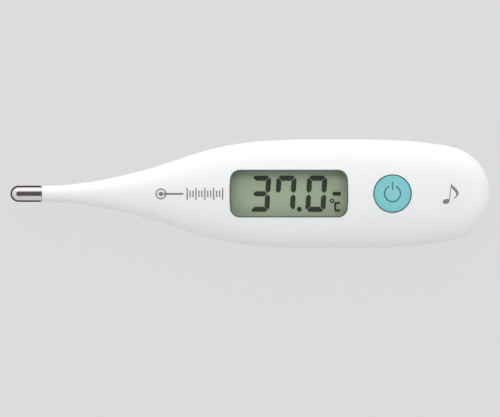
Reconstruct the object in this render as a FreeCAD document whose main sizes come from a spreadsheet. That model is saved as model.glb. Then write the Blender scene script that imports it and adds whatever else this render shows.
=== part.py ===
"""A waterproof digital clinical thermometer, as an assembly of separate pieces.

It lies on its back: +X runs from the sensor tip to the tail, +Y across the body, +Z out of the display.
The origin is the middle of the footprint, on the flat of the back. Every length is in millimetres.
"""
import FreeCAD, Part
import math
import os
import re

import Sketcher

Vector = FreeCAD.Vector

# ---------------------------------------------------------------------------------------------
# Driving dimensions: alias, value, what it measures
# ---------------------------------------------------------------------------------------------
SIZES = [
    ("overall_length", 130.0, "tip of the metal cap to the tail"),
    ("overall_width", 29.5, "body at its widest"),
    ("overall_thickness", 12.6, "flat of the back to the crown of the front"),
    ("parting_height", 6.0, "seam between the case halves, and the axis of the probe"),
    ("back_overdraw", 0.35, "how far the rounded back would reach below its flat"),
    ("body_length", 76.0, "tail to the point where the body starts to narrow"),
    ("probe_diameter", 4.4, "probe and metal cap"),
    ("wall", 1.2, "case wall"),
    ("fit_gap", 0.05, "clearance between pieces that are assembled together"),
    ("lip_inset", 0.45, "outer skin to the tongue of the seam"),
    ("lip_width", 0.4, "thickness of the tongue"),
    ("lip_height", 0.7, "tongue above the seam"),
    ("cap_length", 8.6, "metal cap, from its nose to the shoulder of the case"),
    ("cap_wall", 0.2, "sheet of the metal cap"),
    ("cap_overlap", 4.0, "spigot of the case inside the cap"),
    ("bead_diameter", 1.3, "thermistor bead"),
    ("bead_length", 2.0, "thermistor bead along the probe"),
    ("bead_setback", 1.1, "nose of the cap to the bead"),
    ("lead_diameter", 0.36, "insulated lead"),
    ("lead_spacing", 0.8, "between the two leads in the probe"),
    ("lead_pad_spacing", 2.6, "between the two leads on the board"),
    ("window_from_tail", 54.5, "tail to the middle of the window"),
    ("window_length", 32.2, "window opening along the body"),
    ("window_width", 13.0, "window opening across the body"),
    ("window_bow", 0.4, "bulge of the window's short sides"),
    ("window_corner", 2.7, "corner radius of the window"),
    ("seat_drop", 1.5, "crown of the front to the seat of the window"),
    ("window_gap", 0.12, "opening to the rim of the window"),
    ("window_inset", 0.1, "window below the skin of the case"),
    ("flange_margin", 1.2, "flange beyond the opening, each side"),
    ("flange_thickness", 0.65, "flange of the window"),
    ("tape_thickness", 0.15, "adhesive tape on the flange"),
    ("gasket_thickness", 0.2, "foam frame between window and display"),
    ("gasket_margin", 0.5, "opening to the inner edge of the foam, each side"),
    ("glass_length", 34.6, "display glass along the body"),
    ("front_glass_width", 17.6, "front glass, with its contact ledges"),
    ("rear_glass_width", 14.8, "rear glass"),
    ("glass_thickness", 0.7, "each display glass"),
    ("cell_gap", 0.1, "between the two glasses"),
    ("edge_seal_width", 0.5, "seal round the liquid crystal"),
    ("film_thickness", 0.2, "polariser and reflector films"),
    ("film_margin", 0.1, "film inside the edge of its glass"),
    ("digit_height", 8.4, "between the middles of the top and bottom bars"),
    ("digit_width", 4.1, "between the middles of the side bars"),
    ("bar_width", 1.36, "bar of a digit"),
    ("bar_break", 0.16, "break between neighbouring bars"),
    ("digit_corner", 1.0, "corner cut off the digits"),
    ("digit_slant", 3.5, "lean of the digits, degrees"),
    ("digit_pitch", 6.9, "tens to ones"),
    ("decimal_pitch", 8.3, "ones to tenths, past the point"),
    ("tenths_from_window", 7.45, "middle of the window to the tenths digit"),
    ("frame_wall", 0.8, "wall of the display frame"),
    ("frame_ledge", 0.6, "ledge under the front glass"),
    ("strip_width", 0.8, "elastomer contact strip"),
    ("board_thickness", 0.8, "circuit board"),
    ("board_drop", 0.4, "seam to the underside of the board"),
    ("board_clearance", 0.35, "board to the case wall"),
    ("board_front_from_tail", 78.2, "tail to the front edge of the board"),
    ("board_rear_from_tail", 6.6, "tail to the rear edge of the board"),
    ("post_diameter", 3.4, "screw post"),
    ("board_screw_diameter", 1.5, "screw that holds the board"),
    ("board_screw_length", 4.2, "that screw, under its head"),
    ("front_post_from_tail", 75.0, "tail to the front screw posts"),
    ("front_post_offset", 6.6, "middle line to the front screw posts"),
    ("rear_post_from_tail", 33.8, "tail to the rear screw posts"),
    ("rear_post_offset", 10.6, "middle line to the rear screw posts"),
    ("button_from_tail", 26.5, "tail to the middle of the button"),
    ("button_diameter", 9.9, "power button"),
    ("button_gap", 0.3, "button to its hole"),
    ("button_dome", 0.22, "rise of the button from rim to middle"),
    ("button_flange_margin", 0.95, "flange beyond the button"),
    ("button_flange_thickness", 0.5, "flange of the button"),
    ("button_stop_drop", 1.95, "crown of the front to the stop of the button"),
    ("button_travel", 0.3, "press"),
    ("symbol_diameter", 4.3, "power symbol, middle of its ring"),
    ("symbol_line", 0.38, "line of the power symbol"),
    ("symbol_depth", 0.16, "depth of the power symbol"),
    ("seal_diameter", 14.4, "silicone seal under the button"),
    ("seal_rim_width", 0.95, "rim of the seal"),
    ("seal_rim_height", 0.7, "rim of the seal"),
    ("seal_web", 0.35, "web of the seal"),
    ("seal_hub_diameter", 4.4, "pad in the middle of the seal"),
    ("seal_drop", 0.75, "stop of the button to the top of the seal's rim"),
    ("retainer_height", 0.8, "ring that holds the seal"),
    ("boss_wall", 0.8, "wall round the seal"),
    ("switch_side", 5.2, "tact switch, square"),
    ("switch_height", 1.3, "switch base"),
    ("switch_cover_thickness", 0.15, "metal cover of the switch"),
    ("switch_cavity_depth", 0.8, "well in the switch base"),
    ("plunger_diameter", 2.4, "switch plunger"),
    ("plunger_flange", 3.2, "foot of the plunger"),
    ("dome_height", 0.35, "snap dome"),
    ("buzzer_from_tail", 11.5, "tail to the middle of the sounder"),
    ("buzzer_diameter", 11.0, "brass disc of the sounder"),
    ("buzzer_sheet", 0.12, "brass disc, and the ceramic on it"),
    ("ceramic_diameter", 8.0, "piezo ceramic"),
    ("buzzer_drop", 3.2, "crown of the front to the rim that carries the sounder"),
    ("buzzer_rim", 0.7, "width of the glued rim"),
    ("glue_thickness", 0.1, "glue under the sounder"),
    ("battery_from_tail", 25.0, "tail to the middle of the coin cell"),
    ("battery_diameter", 12.5, "coin cell"),
    ("battery_thickness", 2.0, "coin cell"),
    ("battery_floor", 3.0, "back of the case to the coin cell"),
    ("battery_gap", 0.2, "coin cell to its well"),
    ("well_wall", 1.5, "wall of the coin cell's well"),
    ("cover_diameter", 18.0, "battery cover"),
    ("cover_recess", 0.1, "battery cover below the flat of the back"),
    ("cover_thickness", 0.85, "battery cover"),
    ("cover_gap", 0.12, "battery cover to its recess"),
    ("cover_seal_section", 0.5, "seal under the cover, squeezed"),
    ("skirt_diameter", 15.0, "skirt of the cover"),
    ("skirt_wall", 1.1, "wall of the skirt"),
    ("skirt_gap", 0.12, "skirt to its bore"),
    ("lug_height", 0.5, "thread lug on the skirt"),
    ("lug_reach", 0.55, "thread lug beyond the skirt"),
    ("lug_gap", 0.1, "clearance round a thread lug"),
    ("lug_angle", 20.0, "arc of a thread lug, degrees"),
    ("lug_start", 30.0, "where the first lug begins, degrees from the tail"),
    ("cover_turn", 90.0, "turn that frees the cover, degrees"),
    ("thread_lead", 5.2, "travel of the cover in one whole turn"),
    ("coin_slot_length", 13.0, "slot for a coin"),
    ("coin_slot_width", 1.8, "slot for a coin"),
    ("coin_slot_depth", 0.6, "slot for a coin"),
    ("spring_sheet", 0.2, "contact springs"),
    ("label_length", 34.0, "blank label on the back"),
    ("label_width", 12.0, "blank label on the back"),
    ("label_thickness", 0.1, "blank label on the back"),
    ("label_recess", 0.16, "recess of the label"),
    ("label_from_tail", 62.0, "tail to the middle of the label"),
]

doc = FreeCAD.newDocument("digital_thermometer")
size = doc.addObject("Spreadsheet::Sheet", "size")
for row, (alias, number, meaning) in enumerate(SIZES, start=1):
    size.set(f"A{row}", meaning)
    size.set(f"B{row}", str(number))
    size.setAlias(f"B{row}", alias)
doc.recompute()

ALIASES = {alias for alias, number, meaning in SIZES}


def cells(text):
    """An expression with each alias written the way other objects refer to it."""
    return re.sub(r"[a-z_]+", lambda m: "size." + m.group() if m.group() in ALIASES else m.group(), str(text))


worked = doc.addObject("Spreadsheet::Sheet", "worked")


def value(text):
    """The number that an expression in aliases stands for now."""
    worked.set("A1", "=" + cells(text))
    worked.recompute()
    return float(worked.get("A1"))


# ---------------------------------------------------------------------------------------------
# Places and levels that follow from the driving dimensions
# ---------------------------------------------------------------------------------------------
TAIL = "(overall_length / 2)"
SHOULDER = "(cap_length - overall_length / 2)"
PROBE_RADIUS = "(probe_diameter / 2)"
CAVITY_RADIUS = "(probe_diameter / 2 - wall)"

WINDOW_X = f"({TAIL} - window_from_tail)"
SEAT = "(overall_thickness - seat_drop)"
FLANGE_TOP = f"({SEAT} - tape_thickness)"
WINDOW_BASE = f"({FLANGE_TOP} - flange_thickness)"
FLANGE_LENGTH = "(window_length + 2 * flange_margin)"
FLANGE_WIDTH = "(window_width + 2 * flange_margin)"
DISPLAY_TOP = f"({WINDOW_BASE} - gasket_thickness)"
FRONT_GLASS = f"({DISPLAY_TOP} - film_thickness - glass_thickness)"
CELL = f"({FRONT_GLASS} - cell_gap)"
REAR_GLASS = f"({CELL} - glass_thickness)"
REFLECTOR = f"({REAR_GLASS} - film_thickness)"

BOARD = "(parting_height - board_drop)"
BOARD_TOP = f"({BOARD} + board_thickness)"
BOARD_FRONT = f"({TAIL} - board_front_from_tail)"
BOARD_REAR = f"({TAIL} - board_rear_from_tail)"

BUTTON_X = f"({TAIL} - button_from_tail)"
BUTTON_RADIUS = "(button_diameter / 2)"
BUTTON_STOP = "(overall_thickness - button_stop_drop)"
BUTTON_FLANGE_TOP = f"({BUTTON_STOP} - fit_gap)"
BUTTON_FLANGE_BASE = f"({BUTTON_FLANGE_TOP} - button_flange_thickness)"
BUTTON_FLANGE_RADIUS = f"({BUTTON_RADIUS} + button_flange_margin)"
STOP_RADIUS = f"({BUTTON_FLANGE_RADIUS} + button_gap)"
SEAL_TOP = f"({BUTTON_STOP} - seal_drop)"
SEAL_BASE = f"({SEAL_TOP} - seal_rim_height)"
RETAINER_BASE = f"({SEAL_BASE} - retainer_height)"
SEAL_POCKET_RADIUS = "(seal_diameter / 2 + fit_gap)"
BOSS_RADIUS = f"({SEAL_POCKET_RADIUS} + boss_wall)"
WEB_BASE = f"({SEAL_BASE} + fit_gap)"
WEB_TOP = f"({WEB_BASE} + seal_web)"
SWITCH_TOP = f"({BOARD_TOP} + switch_height)"
SWITCH_WELL = f"({SWITCH_TOP} - switch_cavity_depth)"
PLUNGER_FOOT = f"({SWITCH_WELL} + dome_height + fit_gap / 2)"
PLUNGER_TOP = f"({SWITCH_TOP} + switch_cover_thickness + 1.3 * button_travel)"
HUB_BASE = f"({PLUNGER_TOP} + fit_gap / 2)"

BUZZER_X = f"({TAIL} - buzzer_from_tail)"
BUZZER_RIM = "(overall_thickness - buzzer_drop)"
BUZZER_TOP = f"({BUZZER_RIM} - glue_thickness)"
BUZZER_BASE = f"({BUZZER_TOP} - buzzer_sheet)"
CERAMIC_BASE = f"({BUZZER_BASE} - buzzer_sheet)"

BATTERY_X = f"({TAIL} - battery_from_tail)"
BATTERY_TOP = "(battery_floor + battery_thickness)"
WELL_RADIUS = "(battery_diameter / 2 + battery_gap)"
COVER_TOP = "(cover_recess + cover_thickness)"
COVER_SEAT = f"({COVER_TOP} + cover_seal_section)"
SKIRT_RADIUS = "(skirt_diameter / 2)"
BORE_RADIUS = f"({SKIRT_RADIUS} + skirt_gap)"
SKIRT_TOP = "(battery_floor - fit_gap)"
RECESS_RADIUS = "(cover_diameter / 2 + cover_gap)"
COVER_BOSS_RADIUS = f"({RECESS_RADIUS} + wall)"
LUG_RISE = "(thread_lead * lug_angle / 360)"
LUG_BASE = f"({SKIRT_TOP} - lug_gap - lug_height - {LUG_RISE})"
COVER_LIFT = "(thread_lead * cover_turn / 360)"
LUG_COUNT = 3

LABEL_X = f"({TAIL} - label_from_tail)"

# ---------------------------------------------------------------------------------------------
# Building helpers. Sizes and places are expressions in aliases, and stay bound to the sheet.
# ---------------------------------------------------------------------------------------------
PIECES = []


def piece(node, label):
    """Marks an object as a piece of the product; its Label names its file."""
    node.Label = label
    PIECES.append(node)
    return node


def bind(node, **sizes):
    for name, text in sizes.items():
        node.setExpression(name.replace("__", "."), cells(text))
    return node


def place(node, x="0", y="0", z="0"):
    return bind(node, Placement__Base__x=x, Placement__Base__y=y, Placement__Base__z=z)


def block(name, x, y, z, length, width, height):
    """A box: x and y are its middle, z its underside."""
    node = bind(doc.addObject("Part::Box", name), Length=length, Width=width, Height=height)
    return place(node, f"{x} - ({length}) / 2", f"{y} - ({width}) / 2", z)


def rod(name, x, y, z, radius, height):
    node = bind(doc.addObject("Part::Cylinder", name), Radius=radius, Height=height)
    return place(node, x, y, z)


def long_rod(name, x, radius, length):
    """A cylinder on the probe's axis, from x towards the tail."""
    node = doc.addObject("Part::Cylinder", name)
    along = FreeCAD.Rotation(Vector(1, 0, 0), 45) * FreeCAD.Rotation(Vector(0, 1, 0), 90)
    node.Placement = FreeCAD.Placement(Vector(), along)
    return place(bind(node, Radius=radius, Height=length), x, "0", "parting_height")


def ball(name, x, radius):
    node = bind(doc.addObject("Part::Sphere", name), Radius=radius)
    return place(node, x, "0", "parting_height")


def boolean(kind, name):
    """A boolean feature that keeps its faces as they come: merging faces of the skin spoils it."""
    made = doc.addObject("Part::" + kind, name)
    made.Refine = False
    return made


def fuse(name, *nodes):
    made = boolean("MultiFuse", name)
    made.Shapes = list(nodes)
    return made


def common(name, *nodes):
    made = boolean("MultiCommon", name)
    made.Shapes = list(nodes)
    return made


def cut(name, base, *tools):
    made = boolean("Cut", name)
    made.Base = base
    made.Tool = tools[0] if len(tools) == 1 else fuse(name + "_tools", *tools)
    return made


def group(name, *nodes):
    """Separate solids that share one node."""
    made = doc.addObject("Part::Compound", name)
    made.Links = list(nodes)
    return made


def shaped(name, shape):
    node = doc.addObject("Part::Feature", name)
    node.Shape = shape
    return node


def outline_sketch(body, name, role, points):
    """A closed outline of straight lines, each corner bound to its two expressions."""
    sketch = body.newObject("Sketcher::SketchObject", name)
    plane = next(f for f in body.Origin.OriginFeatures if f.Role == role)
    sketch.AttachmentSupport = [(plane, "")]
    sketch.MapMode = "FlatFace"
    corners = [Vector(value(u), value(v), 0) for u, v in points]
    lines = [Part.LineSegment(a, b) for a, b in zip(corners, corners[1:] + corners[:1])]
    sketch.addGeometry(lines, False)
    for i in range(len(lines)):
        sketch.addConstraint(Sketcher.Constraint("Coincident", i, 2, (i + 1) % len(lines), 1))
    for i, (u, v) in enumerate(points):
        for axis, text, number in (("X", u, corners[i].x), ("Y", v, corners[i].y)):
            index = sketch.addConstraint(Sketcher.Constraint("Distance" + axis, i, 1, number))
            sketch.renameConstraint(index, f"{axis.lower()}{i}")
            sketch.setExpression(f"Constraints.{axis.lower()}{i}", cells(text))
    return sketch


def turned(name, x, profile, y="0"):
    """A body of revolution about a vertical axis at x, y. The profile is (radius, height) corners."""
    body = doc.addObject("PartDesign::Body", name)
    sketch = outline_sketch(body, name + "_profile", "XZ_Plane", profile)
    revolution = body.newObject("PartDesign::Revolution", name + "_turn")
    revolution.Profile = sketch
    revolution.ReferenceAxis = (sketch, ["V_Axis"])
    revolution.Angle = 360
    body.Tip = revolution
    return place(body, x, y)


def plate(name, x, z, length, width, height, corner=None, hole=None):
    """A pad of a rectangle centred on x, with an optional corner radius and rectangular hole."""
    body = doc.addObject("PartDesign::Body", name)
    half = (f"({length}) / 2", f"({width}) / 2")
    sketch = outline_sketch(body, name + "_outline", "XY_Plane", rectangle(*half))
    pad = body.newObject("PartDesign::Pad", name + "_pad")
    pad.Profile = sketch
    bind(pad, Length=height)
    if hole:
        hole_half = (f"({hole[0]}) / 2", f"({hole[1]}) / 2")
        opening = outline_sketch(body, name + "_opening", "XY_Plane", rectangle(*hole_half))
        pocket = body.newObject("PartDesign::Pocket", name + "_pocket")
        pocket.Profile = opening
        pocket.Type = "ThroughAll"
        pocket.Reversed = True
        body.Tip = pocket
    if corner:
        doc.recompute()
        fillet = body.newObject("PartDesign::Fillet", name + "_corners")
        fillet.Base = (pad, [f"Edge{i}" for i, edge in enumerate(pad.Shape.Edges, 1) if upright(edge)])
        bind(fillet, Radius=corner)
    return place(body, x, "0", z)


def rectangle(half_length, half_width):
    return [
        (f"-{half_length}", f"-{half_width}"),
        (half_length, f"-{half_width}"),
        (half_length, half_width),
        (f"-{half_length}", half_width),
    ]


def upright(edge):
    box = edge.BoundBox
    return box.ZLength > 0.01 and box.XLength < 1e-6 and box.YLength < 1e-6


def strip(name, y, width, profile):
    """Bent sheet metal: a side view in X and Z, as wide as width about y."""
    body = doc.addObject("PartDesign::Body", name)
    sketch = outline_sketch(body, name + "_side", "XZ_Plane", profile)
    pad = body.newObject("PartDesign::Pad", name + "_pad")
    pad.Profile = sketch
    pad.Midplane = True
    bind(pad, Length=width)
    body.Tip = pad
    return place(body, "0", y)


# ---------------------------------------------------------------------------------------------
# The body's shape: one smooth skin through stations, from the cap's shoulder to the tail
# ---------------------------------------------------------------------------------------------
# share of the neck's length, flare of the width, flare of the thickness, squareness
NECK_STATIONS = [
    (0.0, 0.0, 0.0, 2.0),
    (0.097, 0.0, 0.0, 2.0),
    (0.229, 0.04, 0.07, 2.05),
    (0.427, 0.167, 0.23, 2.15),
    (0.714, 0.43, 0.58, 2.35),
]
# share of the body's length before the tail, share of the width, share of the thickness, squareness
BODY_STATIONS = [
    (1.0, 0.849, 0.985, 2.6),
    (0.803, 1.006, 1.01, 2.8),
    (0.566, 0.997, 1.0, 2.8),
    (0.329, 1.006, 1.0, 2.8),
    (0.171, 0.915, 0.96, 2.7),
    (0.059, 0.78, 0.82, 2.5),
    (0.0, 0.325, 0.4, 2.3),
    (0.0, 0.0, 0.0, 2.0),
]
POLES_AROUND = 16
HUGE = 200
BACK_SQUARENESS = 0.4


def section(x, half_width, crown, depth, squareness):
    """Poles of one rounded cross-section about the parting height."""
    step = 2 * math.pi / POLES_AROUND
    poles = []
    for i in range(POLES_AROUND):
        angle = i * step - math.pi / 2
        cosine, sine = math.cos(angle), math.sin(angle)
        height = crown if sine > 0 else depth
        power = squareness + (BACK_SQUARENESS * (squareness - 2) if sine < 0 else 0)
        reach = superellipse(cosine, sine, power)
        beside = superellipse(math.cos(step), math.sin(step), power) * math.cos(step)
        reach *= 6 / (4 + 2 * beside)
        poles.append(Vector(x, half_width * reach * cosine, value("parting_height") + height * reach * sine))
    return poles


def superellipse(cosine, sine, power):
    return (abs(cosine) ** power + abs(sine) ** power) ** (-1 / power)


def case_form(name, inset):
    """The solid inside the case's skin, moved inwards by inset, with the back's flat."""
    skin = value(inset)
    tail, shoulder, body_length = value(TAIL), value(SHOULDER), value("body_length")
    radius, half_width = value(PROBE_RADIUS), value("overall_width / 2")
    crown = value("overall_thickness - parting_height")
    depth = value("parting_height + back_overdraw")
    neck = tail - body_length - shoulder
    rows = []
    for share, flare, swell, squareness in NECK_STATIONS:
        sizes = (
            radius + flare * (half_width - radius),
            radius + swell * (crown - radius),
            radius + swell * (depth - radius),
        )
        rows.append(section(shoulder + share * neck, *(side - skin for side in sizes), squareness))
    for share, width_share, height_share, squareness in BODY_STATIONS:
        sizes = (width_share * half_width, height_share * crown, height_share * depth)
        pulled = skin * (1 - share)
        sides = [max(side - skin, 0) if width_share else 0 for side in sizes]
        rows.append(section(tail - share * body_length - pulled, *sides, squareness))
    surface = Part.BSplineSurface()
    spans = len(rows) - 3
    surface.buildFromPolesMultsKnots(
        rows,
        [4] + [1] * (spans - 1) + [4],
        [1] * (POLES_AROUND + 1),
        [float(i) for i in range(spans + 1)],
        [float(i) for i in range(POLES_AROUND + 1)],
        False,
        True,
        3,
        3,
    )
    side = surface.toShape()
    rim = next(e for e in side.Edges if not e.Degenerated and e.BoundBox.XLength < 1e-3)
    shell = Part.makeShell([side, Part.Face(Part.Wire([rim]))])
    shell.sewShape()
    solid = Part.Solid(shell)
    below = Part.makeBox(2 * HUGE, 2 * HUGE, HUGE, Vector(-HUGE, -HUGE, skin - HUGE))
    return shaped(name, solid.cut(below))


outer_form = case_form("outer_form", "0")
window_form = case_form("window_form", "window_inset")
core_form = case_form("core_form", "wall / 2")
cavity_form = case_form("cavity_form", "wall")
board_form = case_form("board_form", "wall + board_clearance")

HALF = "overall_length * 2"
above_seam = block("above_seam", "0", "0", "parting_height", HALF, HALF, HALF)
below_seam = block("below_seam", "0", "0", f"parting_height - {HALF}", HALF, HALF, HALF)


# ---------------------------------------------------------------------------------------------
# Window outline, shared by the opening, the window and its tape
# ---------------------------------------------------------------------------------------------
def window_prism(name, inset, z, height):
    """The window's outline, straight along the body and bowed at its ends, moved in by inset."""
    half_x = value(f"window_length / 2 - ({inset})")
    half_y = value(f"window_width / 2 - ({inset})")
    bow = value("window_bow")
    ends = half_x - bow
    corners = [Vector(-ends, -half_y, 0), Vector(ends, -half_y, 0), Vector(ends, half_y, 0), Vector(-ends, half_y, 0)]
    edges = [
        Part.LineSegment(corners[0], corners[1]).toShape(),
        Part.Arc(corners[1], Vector(half_x, 0, 0), corners[2]).toShape(),
        Part.LineSegment(corners[2], corners[3]).toShape(),
        Part.Arc(corners[3], Vector(-half_x, 0, 0), corners[0]).toShape(),
    ]
    prism = Part.Face(Part.Wire(edges)).extrude(Vector(0, 0, value(height)))
    radius = value(f"window_corner - ({inset})")
    prism = prism.makeFillet(radius, [edge for edge in prism.Edges if upright(edge)])
    prism.translate(Vector(value(WINDOW_X), 0, value(z)))
    return shaped(name, prism)


# ---------------------------------------------------------------------------------------------
# Case halves
# ---------------------------------------------------------------------------------------------
POSTS = [
    (f"({TAIL} - {along})", f"{sign}{across}")
    for along, across in (("front_post_from_tail", "front_post_offset"), ("rear_post_from_tail", "rear_post_offset"))
    for sign in ("", "-")
]


def outline_prism(name, inset, z, height):
    """Upright walls on the body's outline at the seam, moved in by inset."""
    form = case_form(name + "_form", inset).Shape
    level = value("parting_height")
    sheet = Part.makePlane(2 * HUGE, 2 * HUGE, Vector(-HUGE, -HUGE, level))
    outline = sheet.common(form).Faces[0]
    outline.translate(Vector(0, 0, value(z) - level))
    return shaped(name, outline.extrude(Vector(0, 0, value(height))))


def seam_ring(name, spare, z, height):
    """A band that follows the seam inside the wall: the tongue, or its groove when spare is a gap."""
    outside = outline_prism(name + "_outside", f"lip_inset - {spare}", z, height)
    inside = outline_prism(name + "_inside", f"lip_inset + lip_width + {spare}", f"{z} - 1", f"{height} + 2")
    return cut(name, outside, inside)


sleeve = long_rod("sleeve", f"{SHOULDER} - cap_overlap", f"{PROBE_RADIUS} - cap_wall - fit_gap", "cap_overlap + wall")
sleeve_bore = long_rod("sleeve_bore", f"{SHOULDER} - cap_overlap - 1", f"{CAVITY_RADIUS} - fit_gap", "cap_overlap + 2 * wall")
whole_skin = fuse("whole_skin", outer_form, sleeve)


def half_shell(name, side):
    """One half of the hollow case, with its half of the sleeve that the metal cap is pushed onto."""
    skin = common(name + "_skin", whole_skin, side)
    hollow = cut(name + "_hollow", skin, cavity_form)
    return cut(name + "_shell", hollow, sleeve_bore)


def make_upper_case():
    """Front half: window opening and seat, button boss, sounder rim and the board's posts."""
    shell = half_shell("upper", above_seam)
    roof = "overall_thickness"
    boss = rod("button_boss", BUTTON_X, "0", RETAINER_BASE, BOSS_RADIUS, roof)
    rim = rod("buzzer_boss", BUZZER_X, "0", BUZZER_RIM, "buzzer_diameter / 2 + fit_gap", roof)
    margin = "2 * frame_wall"
    seat = block("window_seat", WINDOW_X, "0", SEAT, f"{FLANGE_LENGTH} + {margin}", f"{FLANGE_WIDTH} + {margin}", roof)
    posts = [rod(f"post_{i}", x, y, BOARD_TOP, "post_diameter / 2", roof) for i, (x, y) in enumerate(POSTS)]
    inside = common("upper_bosses", fuse("upper_boss_set", boss, rim, seat, *posts), core_form)
    solid = fuse("upper_solid", shell, inside)
    tools = [
        window_prism("window_opening", "0", SEAT + " - 1", roof),
        block("flange_pocket", WINDOW_X, "0", "parting_height", f"{FLANGE_LENGTH} + 4 * fit_gap",
              f"{FLANGE_WIDTH} + 4 * fit_gap", f"{SEAT} - parting_height"),
        rod("button_hole", BUTTON_X, "0", "parting_height", f"{BUTTON_RADIUS} + button_gap", roof),
        rod("button_stop", BUTTON_X, "0", "parting_height", STOP_RADIUS, f"{BUTTON_STOP} - parting_height"),
        rod("seal_pocket", BUTTON_X, "0", "parting_height", SEAL_POCKET_RADIUS, f"{SEAL_TOP} - parting_height"),
        rod("sound_space", BUZZER_X, "0", "parting_height", "buzzer_diameter / 2 - buzzer_rim",
            "overall_thickness - 2 * wall - parting_height"),
        seam_ring("upper_groove", "fit_gap", "parting_height - 1", "1 + lip_height + 2 * fit_gap"),
    ]
    depth = f"board_screw_length - board_thickness + 0.5"
    tools += [
        rod(f"pilot_{i}", x, y, f"{BOARD_TOP} - 1", "board_screw_diameter / 2 + fit_gap / 2", f"1 + {depth}")
        for i, (x, y) in enumerate(POSTS)
    ]
    return piece(cut("upper_case", solid, *tools), "upper_case")


def thread_sector(name, inner, outer, base, height, arc, turn):
    """A wedge of thread: its section swept along the cover's helix, arc degrees long."""
    lead = value("thread_lead")
    height_of_arc = lead * arc / 360
    path = Part.makeHelix(lead, height_of_arc, value(inner))
    points = [(inner, base), (outer, base), (outer, f"{base} + {height}"), (inner, f"{base} + {height}")]
    corners = [Vector(value(r), 0, value(z)) for r, z in points]
    profile = Part.makePolygon(corners + corners[:1])
    path.translate(Vector(0, 0, value(base)))
    sweep = Part.Wire(path.Edges).makePipeShell([profile], True, True)
    sweep.rotate(Vector(), Vector(0, 0, 1), turn)
    return sweep


def lug_turns():
    return [value("lug_start") + 360 * i / LUG_COUNT for i in range(LUG_COUNT)]


def make_lower_case():
    """Back half: flat back, battery well with its quarter-turn thread, label recess and tongue."""
    shell = half_shell("lower", below_seam)
    boss = rod("cover_boss", BATTERY_X, "0", "0", COVER_BOSS_RADIUS, "battery_floor + 0.7 * wall")
    well = rod("battery_well", BATTERY_X, "0", "0", f"{WELL_RADIUS} + well_wall", f"{BOARD} - 0.3")
    inside = common("lower_bosses", fuse("lower_boss_set", boss, well), core_form)
    tongue = seam_ring("lower_tongue", "0", "parting_height - 1", "1 + lip_height")
    solid = fuse("lower_solid", fuse("lower_lipped", shell, tongue), inside)
    grooves = thread_grooves()
    notch_width = "3 * spring_sheet + 2.8"
    tools = [
        rod("cover_recess_cut", BATTERY_X, "0", "-1", RECESS_RADIUS, f"1 + {COVER_SEAT}"),
        rod("skirt_bore", BATTERY_X, "0", "-1", BORE_RADIUS, "1 + battery_floor"),
        rod("battery_bore", BATTERY_X, "0", "-1", WELL_RADIUS, "1 + parting_height"),
        block("contact_notch", f"{BATTERY_X} + {WELL_RADIUS}", "0", "battery_floor + 0.2", "2 * well_wall + 1",
              notch_width, "parting_height"),
        block("label_pocket", LABEL_X, "0", "-1", "label_length + 0.3", "label_width + 0.3", "1 + label_recess"),
        grooves,
    ]
    return piece(cut("lower_case", solid, *tools), "lower_case")


def thread_grooves():
    """Helical channels that the lugs of the cover run in, open towards the back."""
    gap = value("lug_gap")
    radius = value(f"{SKIRT_RADIUS} + lug_gap + lug_reach")
    spare = math.degrees(gap / radius)
    arc = value("lug_angle") + value("cover_turn") + 2 * spare
    drop = value("thread_lead") * (value("cover_turn") + spare) / 360
    shapes = []
    for turn in lug_turns():
        start = turn - value("cover_turn") - spare
        shapes.append(
            thread_sector("groove", f"{SKIRT_RADIUS} - skirt_wall / 2", f"{SKIRT_RADIUS} + lug_reach + lug_gap",
                          f"{LUG_BASE} - lug_gap - {drop}", "lug_height + 2 * lug_gap", arc, start)
        )
    grooves = shapes[0].multiFuse(shapes[1:])
    grooves.translate(Vector(value(BATTERY_X), 0, 0))
    return shaped("thread_grooves", grooves)


# ---------------------------------------------------------------------------------------------
# Probe: metal cap, thermistor, its leads and the filler round it
# ---------------------------------------------------------------------------------------------
def make_probe():
    nose = f"({PROBE_RADIUS} - overall_length / 2)"
    inner = f"({PROBE_RADIUS} - cap_wall)"
    straight = f"cap_length - {PROBE_RADIUS}"
    outside = fuse("cap_outside", ball("cap_nose", nose, PROBE_RADIUS), long_rod("cap_tube", nose, PROBE_RADIUS, straight))
    inside = fuse("cap_inside", ball("cap_hollow", nose, inner), long_rod("cap_bore", nose, inner, f"{straight} + 1"))
    piece(cut("probe_cap", outside, inside), "probe_cap")

    bead_middle = "(bead_setback + cap_wall + bead_length / 2 - overall_length / 2)"
    bead = doc.addObject("Part::Ellipsoid", "bead")
    bind(bead, Radius1="bead_diameter / 2", Radius2="bead_length / 2", Radius3="bead_diameter / 2")
    place(bead, bead_middle, "0", "parting_height")
    leads = make_leads(f"{bead_middle} + bead_length / 2 - 0.1")
    trimmed = cut("thermistor_bead", bead, leads)
    piece(trimmed, "thermistor")
    piece(leads, "thermistor_leads")

    filler_end = f"({SHOULDER} - cap_overlap - fit_gap)"
    fill = f"{inner} - fit_gap / 2"
    body = fuse("filler_body", ball("filler_nose", nose, fill), long_rod("filler_tube", nose, fill, f"{filler_end} - {nose}"))
    piece(cut("filler_cut", body, bead, leads), "tip_filler")


def lead_route(start, side):
    """Corners of one lead: straight down the probe, then up and out to its pad on the board."""
    level, pad = value("parting_height"), value(f"{BOARD_TOP} + lead_diameter / 2 + fit_gap")
    near, far = side * value("lead_spacing / 2"), side * value("lead_pad_spacing / 2")
    board = value(BOARD_FRONT)
    return [
        Vector(value(start), near, level),
        Vector(board - 12, near, level),
        Vector(board - 6, (near + far) / 2, (level + pad) / 2),
        Vector(board - 1, far, pad),
        Vector(board + 3, far, pad),
    ]


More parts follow.
